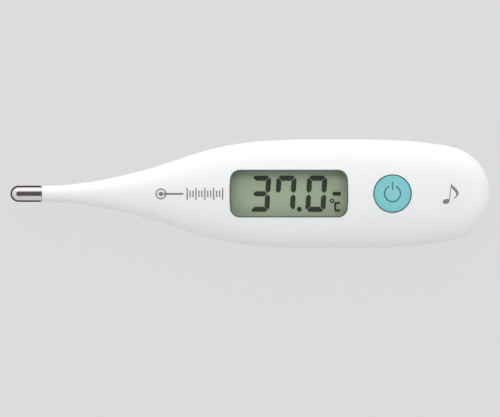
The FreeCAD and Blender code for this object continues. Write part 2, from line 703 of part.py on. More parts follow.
def rounded_path(points):
    """Straight runs joined by tangent arcs, each as large as its two runs allow."""
    edges, here = [], points[0]
    for before, corner, after in zip(points, points[1:], points[2:]):
        back, ahead = (before - corner), (after - corner)
        reach = 0.45 * min(back.Length, ahead.Length)
        back.normalize()
        ahead.normalize()
        turn = math.pi - back.getAngle(ahead)
        radius = reach / math.tan(turn / 2)
        first, last = corner + back * reach, corner + ahead * reach
        inward = (back + ahead).normalize()
        middle = corner + inward * (radius / math.cos(turn / 2) - radius)
        edges.append(Part.LineSegment(here, first).toShape())
        edges.append(Part.Arc(first, middle, last).toShape())
        here = last
    edges.append(Part.LineSegment(here, points[-1]).toShape())
    return Part.Wire(edges)


def make_leads(start):
    solids = []
    for side in (1, -1):
        route = rounded_path(lead_route(start, side))
        ring = Part.Wire(Part.makeCircle(value("lead_diameter / 2"), route.Edges[0].Vertexes[0].Point, Vector(1, 0, 0)))
        solids.append(route.makePipeShell([ring], True, False))
    return shaped("thermistor_leads", Part.makeCompound(solids))


# ---------------------------------------------------------------------------------------------
# Window, display and its frame
# ---------------------------------------------------------------------------------------------
def make_window():
    flange = plate("window_flange", WINDOW_X, WINDOW_BASE, FLANGE_LENGTH, FLANGE_WIDTH, "flange_thickness", "window_corner")
    pane = common("window_pane", window_prism("window_prism", "window_gap", WINDOW_BASE, "overall_thickness"), window_form)
    piece(fuse("display_window", flange, pane), "display_window")

    tape = plate("tape_sheet", WINDOW_X, FLANGE_TOP, FLANGE_LENGTH, FLANGE_WIDTH, "tape_thickness", "window_corner")
    hole = window_prism("tape_hole", "0 - fit_gap", f"{FLANGE_TOP} - 1", "3")
    piece(cut("window_tape", tape, hole), "window_tape")
    ring = ("window_length + 2 * gasket_margin", "window_width + 2 * gasket_margin")
    foam = plate("foam", WINDOW_X, DISPLAY_TOP, FLANGE_LENGTH, FLANGE_WIDTH, "gasket_thickness", hole=ring)
    piece(foam, "display_gasket")


def make_display():
    film = ("glass_length - 2 * film_margin", "{} - 2 * film_margin")
    piece(plate("polariser", WINDOW_X, f"{DISPLAY_TOP} - film_thickness", film[0],
                film[1].format("rear_glass_width"), "film_thickness"), "lcd_front_polariser")
    piece(plate("front_glass", WINDOW_X, FRONT_GLASS, "glass_length", "front_glass_width", "glass_thickness"),
          "lcd_front_glass")
    piece(plate("rear_glass", WINDOW_X, REAR_GLASS, "glass_length", "rear_glass_width", "glass_thickness"),
          "lcd_rear_glass")
    piece(plate("reflector", WINDOW_X, REFLECTOR, film[0], film[1].format("rear_glass_width"), "film_thickness"),
          "lcd_reflector")
    inner = ("glass_length - 2 * edge_seal_width", "rear_glass_width - 2 * edge_seal_width")
    piece(plate("edge_seal", WINDOW_X, CELL, "glass_length", "rear_glass_width", "cell_gap", hole=inner), "lcd_edge_seal")
    piece(make_segments(), "lcd_segments")

    strips = [
        block(f"strip_{i}", WINDOW_X, f"{sign}(front_glass_width / 2 - strip_width / 2 - fit_gap)", BOARD_TOP,
              "glass_length - 2", "strip_width", f"{FRONT_GLASS} - {BOARD_TOP}")
        for i, sign in enumerate(("", "-"))
    ]
    piece(group("contact_strips", *strips), "contact_strips")

    well = ("glass_length + 4 * fit_gap", "front_glass_width + 4 * fit_gap")
    height = f"{FRONT_GLASS} + glass_thickness / 2 - {BOARD_TOP}"
    box = block("frame_box", WINDOW_X, "0", BOARD_TOP, f"{well[0]} + 2 * frame_wall", f"{well[1]} + 2 * frame_wall", height)
    hole = block("frame_hole", WINDOW_X, "0", f"{BOARD_TOP} - 1", well[0], well[1], "overall_thickness")
    walls = common("frame_walls", cut("frame_tube", box, hole), board_form)
    shelf = "rear_glass_width - 2 * frame_ledge"
    floor = block("frame_floor", WINDOW_X, "0", BOARD_TOP, well[0] + " + frame_wall", shelf, f"{REFLECTOR} - {BOARD_TOP}")
    ease = block("floor_hole", WINDOW_X, "0", f"{BOARD_TOP} - 1", f"{well[0]} - 6", f"{shelf} - 3", "overall_thickness")
    piece(fuse("lcd_frame", walls, cut("frame_shelf", floor, ease)), "lcd_frame")


LIT_BARS = {"3": "abcdg", "7": "abcf", "0": "abcdef"}


def bar_corners(bar):
    """Corners of one bar of a seven-bar digit about the digit's middle.

    The middle bar is pointed at both ends. The others are mitred where they meet at the digit's corners,
    which are cut off, and the side bars are pointed where they meet the middle bar.
    """
    half, apart = value("bar_width / 2"), value("bar_break / 2")
    across, up = value("digit_width / 2"), value("digit_height / 2")
    if bar == "g":
        end = across - 2 * apart
        return [(-end, 0), (half - end, half), (end - half, half), (end, 0), (end - half, -half), (half - end, -half)]
    side, top, blunt = across + half, up + half, value("digit_corner")
    step = apart * math.sqrt(2)
    if bar in "ad":
        mitre = side - blunt / 2 - step / 2
        shape = [(side - blunt - step / 2, top), (mitre, top - blunt / 2 + step / 2),
                 (side - 2 * half - step, top - 2 * half)]
        shape += [(-x, y) for x, y in reversed(shape)]
        return shape if bar == "a" else [(x, -y) for x, y in shape]
    shape = [(side - blunt / 2 + step / 2, top - blunt / 2 - step / 2), (side, top - blunt - step / 2),
             (side, half + 2 * apart), (across, 2 * apart), (side - 2 * half, half + 2 * apart),
             (side - 2 * half, top - 2 * half - step)]
    if bar in "ef":
        shape = [(-x, y) for x, y in shape]
    return shape if bar in "bf" else [(x, -y) for x, y in shape]


def segment_solid(corners, x, lean):
    """A leaning thin prism in the cell, its corners eased."""
    thickness, rounding = value("cell_gap - fit_gap"), value("bar_width / 8")
    leaning = [Vector(x + u + v * lean, v, 0) for u, v in corners]
    prism = Part.Face(Part.makePolygon(leaning + leaning[:1])).extrude(Vector(0, 0, thickness))
    return prism.makeFillet(rounding, [edge for edge in prism.Edges if upright(edge)])


def make_segments():
    """The lit pattern of the display: a reading of 37.0, its unit and a status bar."""
    lean = math.tan(math.radians(value("digit_slant")))
    thickness = value("cell_gap - fit_gap")
    tenths = value("tenths_from_window")
    ones = tenths - value("decimal_pitch")
    tens = ones - value("digit_pitch")
    bar = value("bar_width")
    solids = [
        segment_solid(bar_corners(name), x, lean)
        for digit, x in (("3", tens), ("7", ones), ("0", tenths))
        for name in LIT_BARS[digit]
    ]
    low = -value("digit_height / 2")
    point = Part.makeCylinder(bar / 2, thickness, Vector((ones + tenths) / 2 - 0.45, low, 0))
    unit_x = tenths + value("digit_width") + bar
    dash = Part.makeBox(2.3, 0.78 * bar, thickness, Vector(unit_x - 1.1, -0.39 * bar, 0))
    dash = dash.makeFillet(0.35 * bar, [edge for edge in dash.Edges if upright(edge)])
    ring_middle = Vector(unit_x - 1.2, -1.95, 0)
    ring = Part.makeCylinder(0.62, thickness, ring_middle).cut(Part.makeCylinder(0.28, thickness, ring_middle))
    letter_line = 0.55
    letter = Part.makeBox(1.7, 2.6, thickness, Vector(unit_x - 0.6, low - 0.6, 0))
    letter = letter.makeFillet(0.5, [edge for edge in letter.Edges if upright(edge)])
    hollow = Part.makeBox(2, 2.6 - 2 * letter_line, thickness, Vector(unit_x - 0.6 + letter_line, low - 0.6 + letter_line, 0))
    letter = letter.cut(hollow)
    solids += [point, dash, ring, letter]
    pattern = Part.makeCompound(solids)
    pattern.translate(Vector(value(WINDOW_X), 0, value(f"{CELL} + fit_gap / 2")))
    return shaped("segments", pattern)


# ---------------------------------------------------------------------------------------------
# Circuit board and what is soldered to it
# ---------------------------------------------------------------------------------------------
def make_board():
    length = f"({BOARD_REAR} - {BOARD_FRONT})"
    middle = f"(({BOARD_REAR} + {BOARD_FRONT}) / 2)"
    slab = common("board_slab", block("board_box", middle, "0", BOARD, length, "overall_width", "board_thickness"), board_form)
    holes = [
        rod(f"board_hole_{i}", x, y, f"{BOARD} - 1", "board_screw_diameter / 2 + 2 * fit_gap", "board_thickness + 2")
        for i, (x, y) in enumerate(POSTS)
    ]
    piece(cut("board", slab, *holes), "main_board")

    head_radius, head_height = "board_screw_diameter * 0.95", "board_screw_diameter * 0.5"
    screws = []
    for i, (x, y) in enumerate(POSTS):
        shank = rod(f"shank_{i}", x, y, f"{BOARD} - 0.1", "board_screw_diameter / 2", "board_screw_length + 0.1")
        head = rod(f"head_{i}", x, y, f"{BOARD} - {head_height}", head_radius, head_height)
        slots = [
            block(f"slot_{i}_{n}", x, y, f"{BOARD} - {head_height} - 1", *sides, f"1 + {head_height} / 2")
            for n, sides in enumerate((("board_screw_diameter", "0.3"), ("0.3", "board_screw_diameter")))
        ]
        screws.append(cut(f"screw_{i}", fuse(f"screw_blank_{i}", shank, head), *slots))
    piece(group("board_screw_set", *screws), "board_screws")


def make_components():
    """The controller under its black blob, the clock crystal and the chip parts, under the board."""
    blob = doc.addObject("Part::Ellipsoid", "blob")
    bind(blob, Radius1="1.1", Radius2="3.8", Radius3="3.8")
    place(blob, WINDOW_X, "0", BOARD)
    under = block("under_board", WINDOW_X, "0", f"{BOARD} - 3", "12", "12", "3")
    piece(common("controller_blob", blob, under), "controller_blob")

    can = doc.addObject("Part::Cylinder", "crystal")
    can.Placement = FreeCAD.Placement(Vector(), FreeCAD.Rotation(Vector(1, 0, 0), 90))
    bind(can, Radius="0.75", Height="5")
    place(can, f"{WINDOW_X} + 9", "2.5", f"{BOARD} - 0.75 - fit_gap / 2")
    piece(can, "clock_crystal")

    spots = [(-12, -7), (-12, 7), (-7, 8.5), (7, 8.5), (13.5, 7.5), (13.5, -7.5)]
    capacitors = [
        block(f"capacitor_{i}", f"{WINDOW_X} + {x}", str(y), f"{BOARD} - 0.8", "1.6", "0.8", "0.8")
        for i, (x, y) in enumerate(spots)
    ]
    piece(group("capacitor_set", *capacitors), "chip_capacitors")
    resistors = [
        block(f"resistor_{i}", f"{WINDOW_X} - 8 + {3 * i}", "-9", f"{BOARD} - 0.4", "1.0", "0.5", "0.4")
        for i in range(6)
    ]
    piece(group("resistor_set", *resistors), "chip_resistors")


def make_switch():
    side = "switch_side"
    base = block("switch_block", BUTTON_X, "0", BOARD_TOP, side, side, "switch_height")
    well = rod("switch_well", BUTTON_X, "0", SWITCH_WELL, "plunger_flange / 2 + 0.3", "switch_height")
    piece(cut("switch_base_cut", base, well), "switch_base")
    cover = block("switch_plate", BUTTON_X, "0", SWITCH_TOP, side, side, "switch_cover_thickness")
    hole = rod("switch_hole", BUTTON_X, "0", f"{SWITCH_TOP} - 1", "plunger_diameter / 2 + 2 * fit_gap", "3")
    piece(cut("switch_cover_cut", cover, hole), "switch_cover")
    piece(
        turned("plunger", BUTTON_X, [
            ("0", PLUNGER_FOOT), ("plunger_flange / 2", PLUNGER_FOOT),
            ("plunger_flange / 2", f"{SWITCH_TOP} - fit_gap"), ("plunger_diameter / 2", f"{SWITCH_TOP} - fit_gap"),
            ("plunger_diameter / 2", f"{PLUNGER_TOP} - 0.1"), ("plunger_diameter / 2 - 0.1", PLUNGER_TOP),
            ("0", PLUNGER_TOP)]),
        "switch_plunger")
    sheet = "0.08"
    rim = "(plunger_flange / 2 + 0.2)"
    piece(
        turned("dome", BUTTON_X, [
            ("0", f"{SWITCH_WELL} + dome_height - {sheet}"), (f"{rim} * 0.6", f"{SWITCH_WELL} + dome_height * 0.72 - {sheet}"),
            (f"{rim} - 0.15", SWITCH_WELL), (rim, SWITCH_WELL), (rim, f"{SWITCH_WELL} + {sheet}"),
            (f"{rim} * 0.6", f"{SWITCH_WELL} + dome_height * 0.72"), ("0", f"{SWITCH_WELL} + dome_height")]),
        "switch_dome")


# ---------------------------------------------------------------------------------------------
# Power button with its seal
# ---------------------------------------------------------------------------------------------
def power_symbol():
    """Cutter for the symbol: a ring open at the top, and a bar that stands in the opening."""
    ring_radius, line = value("symbol_diameter / 2"), value("symbol_line")
    top, depth = value("overall_thickness"), value("symbol_depth + button_dome")
    base = Vector(0, 0, top - depth)
    opening = 27.0
    sweep = 360 - 2 * opening
    ring = Part.makeCylinder(ring_radius + line / 2, 2, base, Vector(0, 0, 1), sweep)
    ring = ring.cut(Part.makeCylinder(ring_radius - line / 2, 2, base))
    ring.rotate(Vector(), Vector(0, 0, 1), 90 + opening)
    ends = [
        Part.makeCylinder(line / 2, 2, base + Vector(math.cos(a), math.sin(a), 0) * ring_radius)
        for a in (math.radians(90 - opening), math.radians(90 + opening))
    ]
    bar_low, bar_high = ring_radius - 1.15, ring_radius + 0.9
    bar = Part.makeBox(line, bar_high - bar_low, 2, base + Vector(-line / 2, bar_low, 0))
    caps = [Part.makeCylinder(line / 2, 2, base + Vector(0, y, 0)) for y in (bar_low, bar_high)]
    symbol = ring.multiFuse(ends + [bar] + caps)
    symbol.translate(Vector(value(BUTTON_X), 0, 0))
    return shaped("power_symbol", symbol)


def make_button():
    profile = [
        ("0", f"{WEB_TOP} + fit_gap / 2"), ("seal_hub_diameter / 2", f"{WEB_TOP} + fit_gap / 2"),
        ("seal_hub_diameter / 2", BUTTON_FLANGE_BASE), (BUTTON_FLANGE_RADIUS, BUTTON_FLANGE_BASE),
        (BUTTON_FLANGE_RADIUS, BUTTON_FLANGE_TOP), (BUTTON_RADIUS, BUTTON_FLANGE_TOP),
        (BUTTON_RADIUS, "overall_thickness"), ("0", "overall_thickness"),
    ]
    blank = turned("button_blank", BUTTON_X, profile)
    radius = value(BUTTON_RADIUS)
    rise = value("button_dome")
    dome_radius = (radius**2 + rise**2) / (2 * rise)
    dome = doc.addObject("Part::Sphere", "button_dome_ball")
    dome.Radius = dome_radius
    place(dome, BUTTON_X, "0", f"overall_thickness - {dome_radius}")
    capped = common("button_capped", blank, dome)
    doc.recompute()
    eased = doc.addObject("Part::Fillet", "button_eased")
    eased.Base = capped
    rims = [
        (i, 0.25, 0.25)
        for i, edge in enumerate(capped.Shape.Edges, 1)
        if edge.BoundBox.ZLength < 1e-4 and edge.BoundBox.ZMin > value("overall_thickness") - 2 * rise
    ]
    eased.Edges = rims
    dot = rod("button_dot", BUTTON_X, "0", "overall_thickness - 0.5", "0.28", "0.56")
    dot.Height = 0.5
    piece(fuse("power_button", cut("button_marked", eased, power_symbol()), dot), "power_button")

    seal_radius = "(seal_diameter / 2)"
    rim_inner = f"({seal_radius} - seal_rim_width)"
    piece(
        turned("seal", BUTTON_X, [
            ("0", HUB_BASE), ("plunger_diameter / 2", HUB_BASE), ("seal_hub_diameter / 2", WEB_BASE),
            (rim_inner, WEB_BASE), (rim_inner, SEAL_BASE), (seal_radius, SEAL_BASE), (seal_radius, SEAL_TOP),
            (rim_inner, SEAL_TOP), (rim_inner, WEB_TOP), ("0", WEB_TOP)]),
        "button_seal")
    piece(
        turned("retainer", BUTTON_X, [
            (f"{rim_inner} - 0.3", f"{RETAINER_BASE} + 0.1"), (f"{seal_radius} - 0.2", RETAINER_BASE),
            (seal_radius, f"{RETAINER_BASE} + 0.2"), (seal_radius, SEAL_BASE), (f"{rim_inner} - 0.3", SEAL_BASE)]),
        "seal_retainer")


# ---------------------------------------------------------------------------------------------
# Sounder
# ---------------------------------------------------------------------------------------------
def make_buzzer():
    radius = "(buzzer_diameter / 2)"
    piece(rod("disc", BUZZER_X, "0", BUZZER_BASE, radius, "buzzer_sheet"), "buzzer_disc")
    piece(rod("ceramic", BUZZER_X, "0", CERAMIC_BASE, "ceramic_diameter / 2", "buzzer_sheet"), "buzzer_ceramic")
    glue = cut("glue", rod("glue_disc", BUZZER_X, "0", BUZZER_TOP, radius, "glue_thickness"),
               rod("glue_hole", BUZZER_X, "0", f"{BUZZER_TOP} - 1", f"{radius} - buzzer_rim", "3"))
    piece(glue, "buzzer_glue")
    edge = f"(({radius} - ceramic_diameter / 2) / 4)"
    ends = [
        (f"({BUZZER_X} - {radius} + {edge})", BUZZER_BASE, "-1.2", f"2 * {edge}"),
        (f"({BUZZER_X} + 0.6)", CERAMIC_BASE, "1.2", "1.6"),
    ]
    leaves = [
        strip(f"buzzer_leaf_{i}", y, "1.4", leaf_profile(x, BOARD_TOP, top, "1.6", reach))
        for i, (x, top, y, reach) in enumerate(ends)
    ]
    piece(group("buzzer_leaves", *leaves), "buzzer_contacts")


def leaf_profile(x, low, high, foot, reach):
    """Side view of a Z-shaped leaf: a foot, a leaning riser and a tongue that touches at high."""
    sheet = "spring_sheet"
    return [
        (f"{x} - {foot}", low), (x, low), (f"{x} + 0.3", f"{high} - {sheet}"), (f"{x} + {reach}", f"{high} - {sheet}"),
        (f"{x} + {reach}", high), (f"{x} + 0.3 - {sheet} * 1.2", high), (f"{x} - {sheet} * 1.2", f"{low} + {sheet}"),
        (f"{x} - {foot}", f"{low} + {sheet}"),
    ]


# ---------------------------------------------------------------------------------------------
# Coin cell, its contacts and the quarter-turn cover
# ---------------------------------------------------------------------------------------------
def make_battery():
    radius, edge = "(battery_diameter / 2)", "0.25"
    cap_radius = f"({radius} - 1.1)"
    can_top = f"({BATTERY_TOP} - 0.25)"
    piece(
        turned("can", BATTERY_X, [
            ("0", "battery_floor"), (f"{radius} - {edge}", "battery_floor"), (radius, f"battery_floor + {edge}"),
            (radius, f"{can_top} - {edge}"), (f"{radius} - {edge}", can_top), (f"{cap_radius} + 0.25", can_top),
            (f"{cap_radius} + 0.25", f"{can_top} - 0.3"), (f"{radius} - 0.35", f"{can_top} - 0.3"),
            (f"{radius} - 0.35", f"battery_floor + {edge}"), ("0", f"battery_floor + {edge}")]),
        "battery_can")
    piece(
        turned("grommet", BATTERY_X, [
            (f"{cap_radius} + 0.02", f"{can_top} - 0.32"), (f"{radius} - 0.37", f"{can_top} - 0.32"),
            (f"{radius} - 0.37", f"battery_floor + {edge} + 0.02"), (f"{radius} - 0.8", f"battery_floor + {edge} + 0.02"),
            (f"{radius} - 0.8", f"{can_top} - 0.7"), (f"{cap_radius} + 0.02", f"{can_top} - 0.7")]),
        "battery_grommet")
    piece(
        turned("cap", BATTERY_X, [
            ("0", f"battery_floor + {edge} + 0.04"), (f"{radius} - 0.82", f"battery_floor + {edge} + 0.04"),
            (f"{radius} - 0.82", f"{can_top} - 0.72"), (cap_radius, f"{can_top} - 0.72"),
            (cap_radius, f"{BATTERY_TOP} - 0.15"), (f"{cap_radius} - 0.15", BATTERY_TOP), ("0", BATTERY_TOP)]),
        "battery_cap")

    sheet = "spring_sheet"
    start = f"({BATTERY_X} - {WELL_RADIUS} + 0.5)"
    piece(
        strip("minus_leaf", "0", "2.6", [
            (start, f"{BOARD} - {sheet}"), (f"{start} + 2.0", f"{BOARD} - {sheet}"), (f"{start} + 5.5", BATTERY_TOP),
            (f"{start} + 7.2", BATTERY_TOP), (f"{start} + 7.6", f"{BATTERY_TOP} + {sheet}"),
            (f"{start} + 5.6", f"{BATTERY_TOP} + {sheet}"), (f"{start} + 2.1", BOARD), (start, BOARD)]),
        "battery_contact_minus")
    side = f"({BATTERY_X} + {radius} + fit_gap / 2)"
    foot = f"({side} + 3.4)"
    piece(
        strip("plus_leaf", "0", "2.4", [
            (side, "battery_floor + 0.5"), (f"{side} + {sheet}", "battery_floor + 0.5"), (f"{side} + {sheet}", f"{BOARD} - {sheet}"),
            (foot, f"{BOARD} - {sheet}"), (foot, BOARD), (side, BOARD)]),
        "battery_contact_plus")


def make_cover():
    """Battery cover: a coin slot outside, a skirt with three thread lugs and a pad under the cell."""
    radius, edge = "(cover_diameter / 2)", "0.25"
    inner = f"({SKIRT_RADIUS} - skirt_wall)"
    pad = "(battery_diameter / 4)"
    disc = turned("cover_blank", BATTERY_X, [
        ("0", "cover_recess"), (f"{radius} - {edge}", "cover_recess"), (radius, f"cover_recess + {edge}"),
        (radius, COVER_TOP), (SKIRT_RADIUS, COVER_TOP), (SKIRT_RADIUS, SKIRT_TOP), (inner, SKIRT_TOP),
        (inner, COVER_TOP), (pad, COVER_TOP), (pad, SKIRT_TOP), ("0", SKIRT_TOP)])
    lugs = [
        thread_sector("lug", f"{SKIRT_RADIUS} - skirt_wall / 2", f"{SKIRT_RADIUS} + lug_reach", LUG_BASE, "lug_height",
                      value("lug_angle"), turn)
        for turn in lug_turns()
    ]
    lug_set = lugs[0].multiFuse(lugs[1:])
    lug_set.translate(Vector(value(BATTERY_X), 0, 0))
    threaded = fuse("cover_threaded", disc, shaped("lug_set", lug_set))
    slot_ends = [f"{sign}(coin_slot_length / 2 - coin_slot_width / 2)" for sign in ("", "-")]
    ends = [
        rod(f"slot_end_{i}", f"{BATTERY_X} + {x}", "0", "-1", "coin_slot_width / 2", "1 + cover_recess + coin_slot_depth")
        for i, x in enumerate(slot_ends)
    ]
    slot = block("coin_slot", BATTERY_X, "0", "-1", "coin_slot_length - coin_slot_width", "coin_slot_width",
                 "1 + cover_recess + coin_slot_depth")
    piece(cut("battery_cover", threaded, slot, *ends), "battery_cover")

    section_radius = "cover_seal_section / 2"
    seal = doc.addObject("Part::Torus", "cover_ring")
    bind(seal, Radius1=f"({SKIRT_RADIUS} + lug_reach + cover_diameter / 2) / 2", Radius2=section_radius)
    place(seal, BATTERY_X, "0", f"{COVER_TOP} + {section_radius}")
    piece(seal, "battery_cover_seal")


def make_label():
    piece(plate("label", LABEL_X, "label_recess - label_thickness", "label_length", "label_width", "label_thickness",
                corner="1.2"), "back_label")


# ---------------------------------------------------------------------------------------------
# Build, check and write
# ---------------------------------------------------------------------------------------------
def check_and_write():
    doc.recompute()
    failed = [node.Name for node in doc.Objects if {"Invalid", "Error"} & set(node.State)]
    if failed:
        raise RuntimeError(f"these objects failed to build: {failed}")
    os.makedirs("parts", exist_ok=True)
    for node in PIECES:
        shape = node.Shape
        if shape.isNull() or not shape.isValid() or not shape.Solids:
            raise RuntimeError(f"{node.Label} has no valid solid")
        shape.exportStep(os.path.join("parts", node.Label + ".step"))
        print(f"{node.Label:24s} {len(shape.Solids):2d} solid(s) {shape.Volume:9.2f} mm3")


make_upper_case()
make_lower_case()
make_probe()
make_window()
make_display()
make_board()
make_components()
make_switch()
make_button()
make_buzzer()
make_battery()
make_cover()
make_label()
check_and_write()
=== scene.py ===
import math

import bpy
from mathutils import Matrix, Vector


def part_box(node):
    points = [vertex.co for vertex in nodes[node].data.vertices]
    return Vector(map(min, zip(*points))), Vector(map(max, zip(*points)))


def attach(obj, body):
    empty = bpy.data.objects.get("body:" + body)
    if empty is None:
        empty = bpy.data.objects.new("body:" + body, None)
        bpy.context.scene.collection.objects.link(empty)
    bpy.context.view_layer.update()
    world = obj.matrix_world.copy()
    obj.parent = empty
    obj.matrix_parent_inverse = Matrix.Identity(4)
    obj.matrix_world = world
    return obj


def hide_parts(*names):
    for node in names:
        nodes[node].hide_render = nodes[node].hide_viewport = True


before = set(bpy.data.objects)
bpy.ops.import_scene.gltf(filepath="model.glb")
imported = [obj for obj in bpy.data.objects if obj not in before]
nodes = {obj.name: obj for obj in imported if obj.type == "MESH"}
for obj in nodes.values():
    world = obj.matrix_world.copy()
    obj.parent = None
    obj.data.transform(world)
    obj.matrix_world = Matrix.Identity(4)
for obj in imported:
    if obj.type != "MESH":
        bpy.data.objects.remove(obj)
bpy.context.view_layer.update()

# %% [markdown]
# # A waterproof clinical thermometer
# The thermometer lies on its back. X runs from the metal tip to the tail, Y across the body and Z out of
# the display. Every length that the maker would quote is in millimetres, so one helper turns them into
# the metres that Blender works in.

# %% Measures and the model's own places
MM = 0.001


def mm(*numbers):
    return tuple(number * MM for number in numbers)


def middle_of(node):
    low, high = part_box(node)
    return (low + high) / 2


case_low, case_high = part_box("upper_case")
window_middle = middle_of("display_window")
button_middle = middle_of("power_button")
cover_middle = middle_of("battery_cover")
seam_height = case_low.z
print("body", [round(v / MM, 2) for v in (case_high - case_low)], "seam at", round(seam_height / MM, 2))

# %% [markdown]
# Operators work on whatever is selected, and the frame arrives selected. These helpers pick one object at
# a time, go in and out of edit mode, and freeze a finished piece at the origin, where its place is in its
# mesh, as the frame's own pieces have it.

# %% Picking, applying and freezing
def let_go():
    bpy.ops.object.select_all(action="DESELECT")


def take(piece):
    let_go()
    piece.select_set(True)
    bpy.context.view_layer.objects.active = piece
    return piece


def edit(kind="VERT"):
    bpy.ops.object.mode_set(mode="EDIT")
    bpy.ops.mesh.select_mode(type=kind)


def leave_edit():
    bpy.ops.object.mode_set(mode="OBJECT")


def pick(piece, kind, wanted):
    """Selects the vertices, edges or faces for which wanted says yes, and nothing else."""
    edit(kind)
    bpy.ops.mesh.select_all(action="DESELECT")
    leave_edit()
    group = {"VERT": piece.data.vertices, "EDGE": piece.data.edges, "FACE": piece.data.polygons}[kind]
    for item in group:
        item.select = bool(wanted(item))
    bpy.ops.object.mode_set(mode="EDIT")


def freeze(piece, name):
    """Puts a piece's place, turn and scale into its mesh, and names it."""
    take(piece)
    piece.name = name
    bpy.ops.object.transform_apply(location=True, rotation=True, scale=True)
    return piece


def apply_all(piece):
    """Applies every modifier of a piece."""
    take(piece)
    for modifier in list(piece.modifiers):
        bpy.ops.object.modifier_apply(modifier=modifier.name)
    return piece


let_go()

# %% [markdown]
# ## Looking down at it
# A long lens, straight above, shows the body without perspective. The view is as wide as the body and a
# small margin. The plain colour transform keeps white plastic white.

# %% Camera
VIEW_WIDTH = 135.65 * MM
LENS, SENSOR = 400.0, 36.0
aim = (0.0, -4.0 * MM, seam_height)
camera_data = bpy.data.cameras.new("long_lens")
camera_data.lens = LENS
camera_data.sensor_width = SENSOR
camera_data.clip_end = 20.0
camera = bpy.data.objects.new("long_lens", camera_data)
bpy.context.scene.collection.objects.link(camera)
distance = VIEW_WIDTH * LENS / SENSOR
camera.location = (aim[0], aim[1], aim[2] + distance)
bpy.context.scene.camera = camera
bpy.context.scene.view_settings.view_transform = "Standard"
print("camera is", round(distance, 3), "m above the seam")

# %% [markdown]
# ## Finishes
# Each finish is a principled shader. Nothing moulded or rolled is quite even, so most finishes have a soft
# mottle in their colour, some also in their roughness, and most a fine grain in their surface, from noise on
# object coordinates.
# Colours are given as a screen shows them and turned into linear light.

# %% Colour and shader helpers
def linear(red, green, blue, alpha=1.0):
    parts = [channel / 255 for channel in (red, green, blue)]
    return tuple(c / 12.92 if c <= 0.04045 else ((c + 0.055) / 1.055) ** 2.4 for c in parts) + (alpha,)


def shade_of(colour, factor):
    return tuple(min(channel * factor, 1.0) for channel in colour[:3]) + (1.0,)


class Finish:
    """A material, its shader and the object coordinates its patterns read."""

    def __init__(self, name, colour, roughness, metallic=0.0, **sockets):
        self.material = bpy.data.materials.new(name)
        self.material.use_nodes = True
        self.tree = self.material.node_tree
        self.shader = self.tree.nodes["Principled BSDF"]
        self.place = self.tree.nodes.new("ShaderNodeTexCoord").outputs["Object"]
        self.colour = colour
        self.set(Roughness=roughness, Metallic=metallic)
        self.shader.inputs["Base Color"].default_value = colour
        for socket, number in sockets.items():
            self.shader.inputs[socket.replace("_", " ")].default_value = number

    def set(self, **sockets):
        for socket, number in sockets.items():
            self.shader.inputs[socket].default_value = number

    def node(self, kind, **settings):
        made = self.tree.nodes.new(kind)
        for name, number in settings.items():
            if name in made.inputs:
                made.inputs[name].default_value = number
            else:
                setattr(made, name, number)
        return made

    def join(self, start, end):
        self.tree.links.new(start, end)

    def noise(self, size_mm, detail=3.0, stretch=(1, 1, 1)):
        """Noise whose blotches are about size_mm across, longer along an axis with a low stretch."""
        mapping = self.node("ShaderNodeMapping", Scale=stretch)
        self.join(self.place, mapping.inputs["Vector"])
        noise = self.node("ShaderNodeTexNoise", Scale=1 / (size_mm * MM), Detail=detail)
        self.join(mapping.outputs["Vector"], noise.inputs["Vector"])
        return noise.outputs["Fac"]

    def mottle(self, size_mm, spread=0.04, **options):
        """The colour wanders a little, from spread darker to spread lighter."""
        ramp = self.node("ShaderNodeValToRGB")
        low, high = ramp.color_ramp.elements
        low.position, high.position = 0.3, 0.7
        low.color, high.color = shade_of(self.colour, 1 - spread), shade_of(self.colour, 1 + spread)
        self.join(self.noise(size_mm, **options), ramp.inputs["Fac"])
        self.join(ramp.outputs["Color"], self.shader.inputs["Base Color"])
        return self

    def uneven_gloss(self, size_mm, low, high, **options):
        """The roughness wanders between two values, as handling and moulding leave it."""
        spread = self.node("ShaderNodeMapRange")
        spread.inputs["To Min"].default_value, spread.inputs["To Max"].default_value = low, high
        self.join(self.noise(size_mm, **options), spread.inputs["Value"])
        self.join(spread.outputs["Result"], self.shader.inputs["Roughness"])
        return self

    def grain(self, size_mm, height_mm, strength=1.0, **options):
        """A fine bump of that height."""
        bump = self.node("ShaderNodeBump", Strength=strength, Distance=height_mm * MM)
        self.join(self.noise(size_mm, **options), bump.inputs["Height"])
        self.join(bump.outputs["Normal"], self.shader.inputs["Normal"])
        return self


def wear(finish, *names):
    """The named pieces of the frame wear this finish."""
    for name in names:
        for material_slot in nodes[name].material_slots:
            material_slot.material = finish.material


# %% [markdown]
# The case is moulded in glossy white plastic that lets a little light in before it sends it back, so its
# edges look soft. Subsurface scattering over a millimetre does that, and a very shallow orange peel
# breaks the highlights.

# %% White mouldings
WHITE = linear(245, 245, 244)
case_white = Finish("case_white", WHITE, 0.25, IOR=1.5, Subsurface_Weight=0.12, Subsurface_Scale=1.0 * MM)
case_white.set(**{"Subsurface Radius": (1.0, 0.95, 0.9)})
case_white.mottle(6.0, 0.006).uneven_gloss(2.5, 0.2, 0.3).grain(0.9, 0.0012)
cover_white = Finish("cover_white", linear(238, 240, 241), 0.35, IOR=1.5)
cover_white.mottle(4.0, 0.01).uneven_gloss(1.5, 0.3, 0.42).grain(0.15, 0.002)
ring_white = Finish("ring_white", linear(228, 230, 232), 0.45).mottle(3.0, 0.02).grain(0.2, 0.002)
wear(case_white, "upper_case", "lower_case")
wear(cover_white, "battery_cover")
wear(ring_white, "seal_retainer")

# %% [markdown]
# The cap is drawn stainless steel, polished along its length. A low roughness mirrors the lights as long
# bands, and a faint grain that runs round the cap keeps the bands from being perfectly clean.

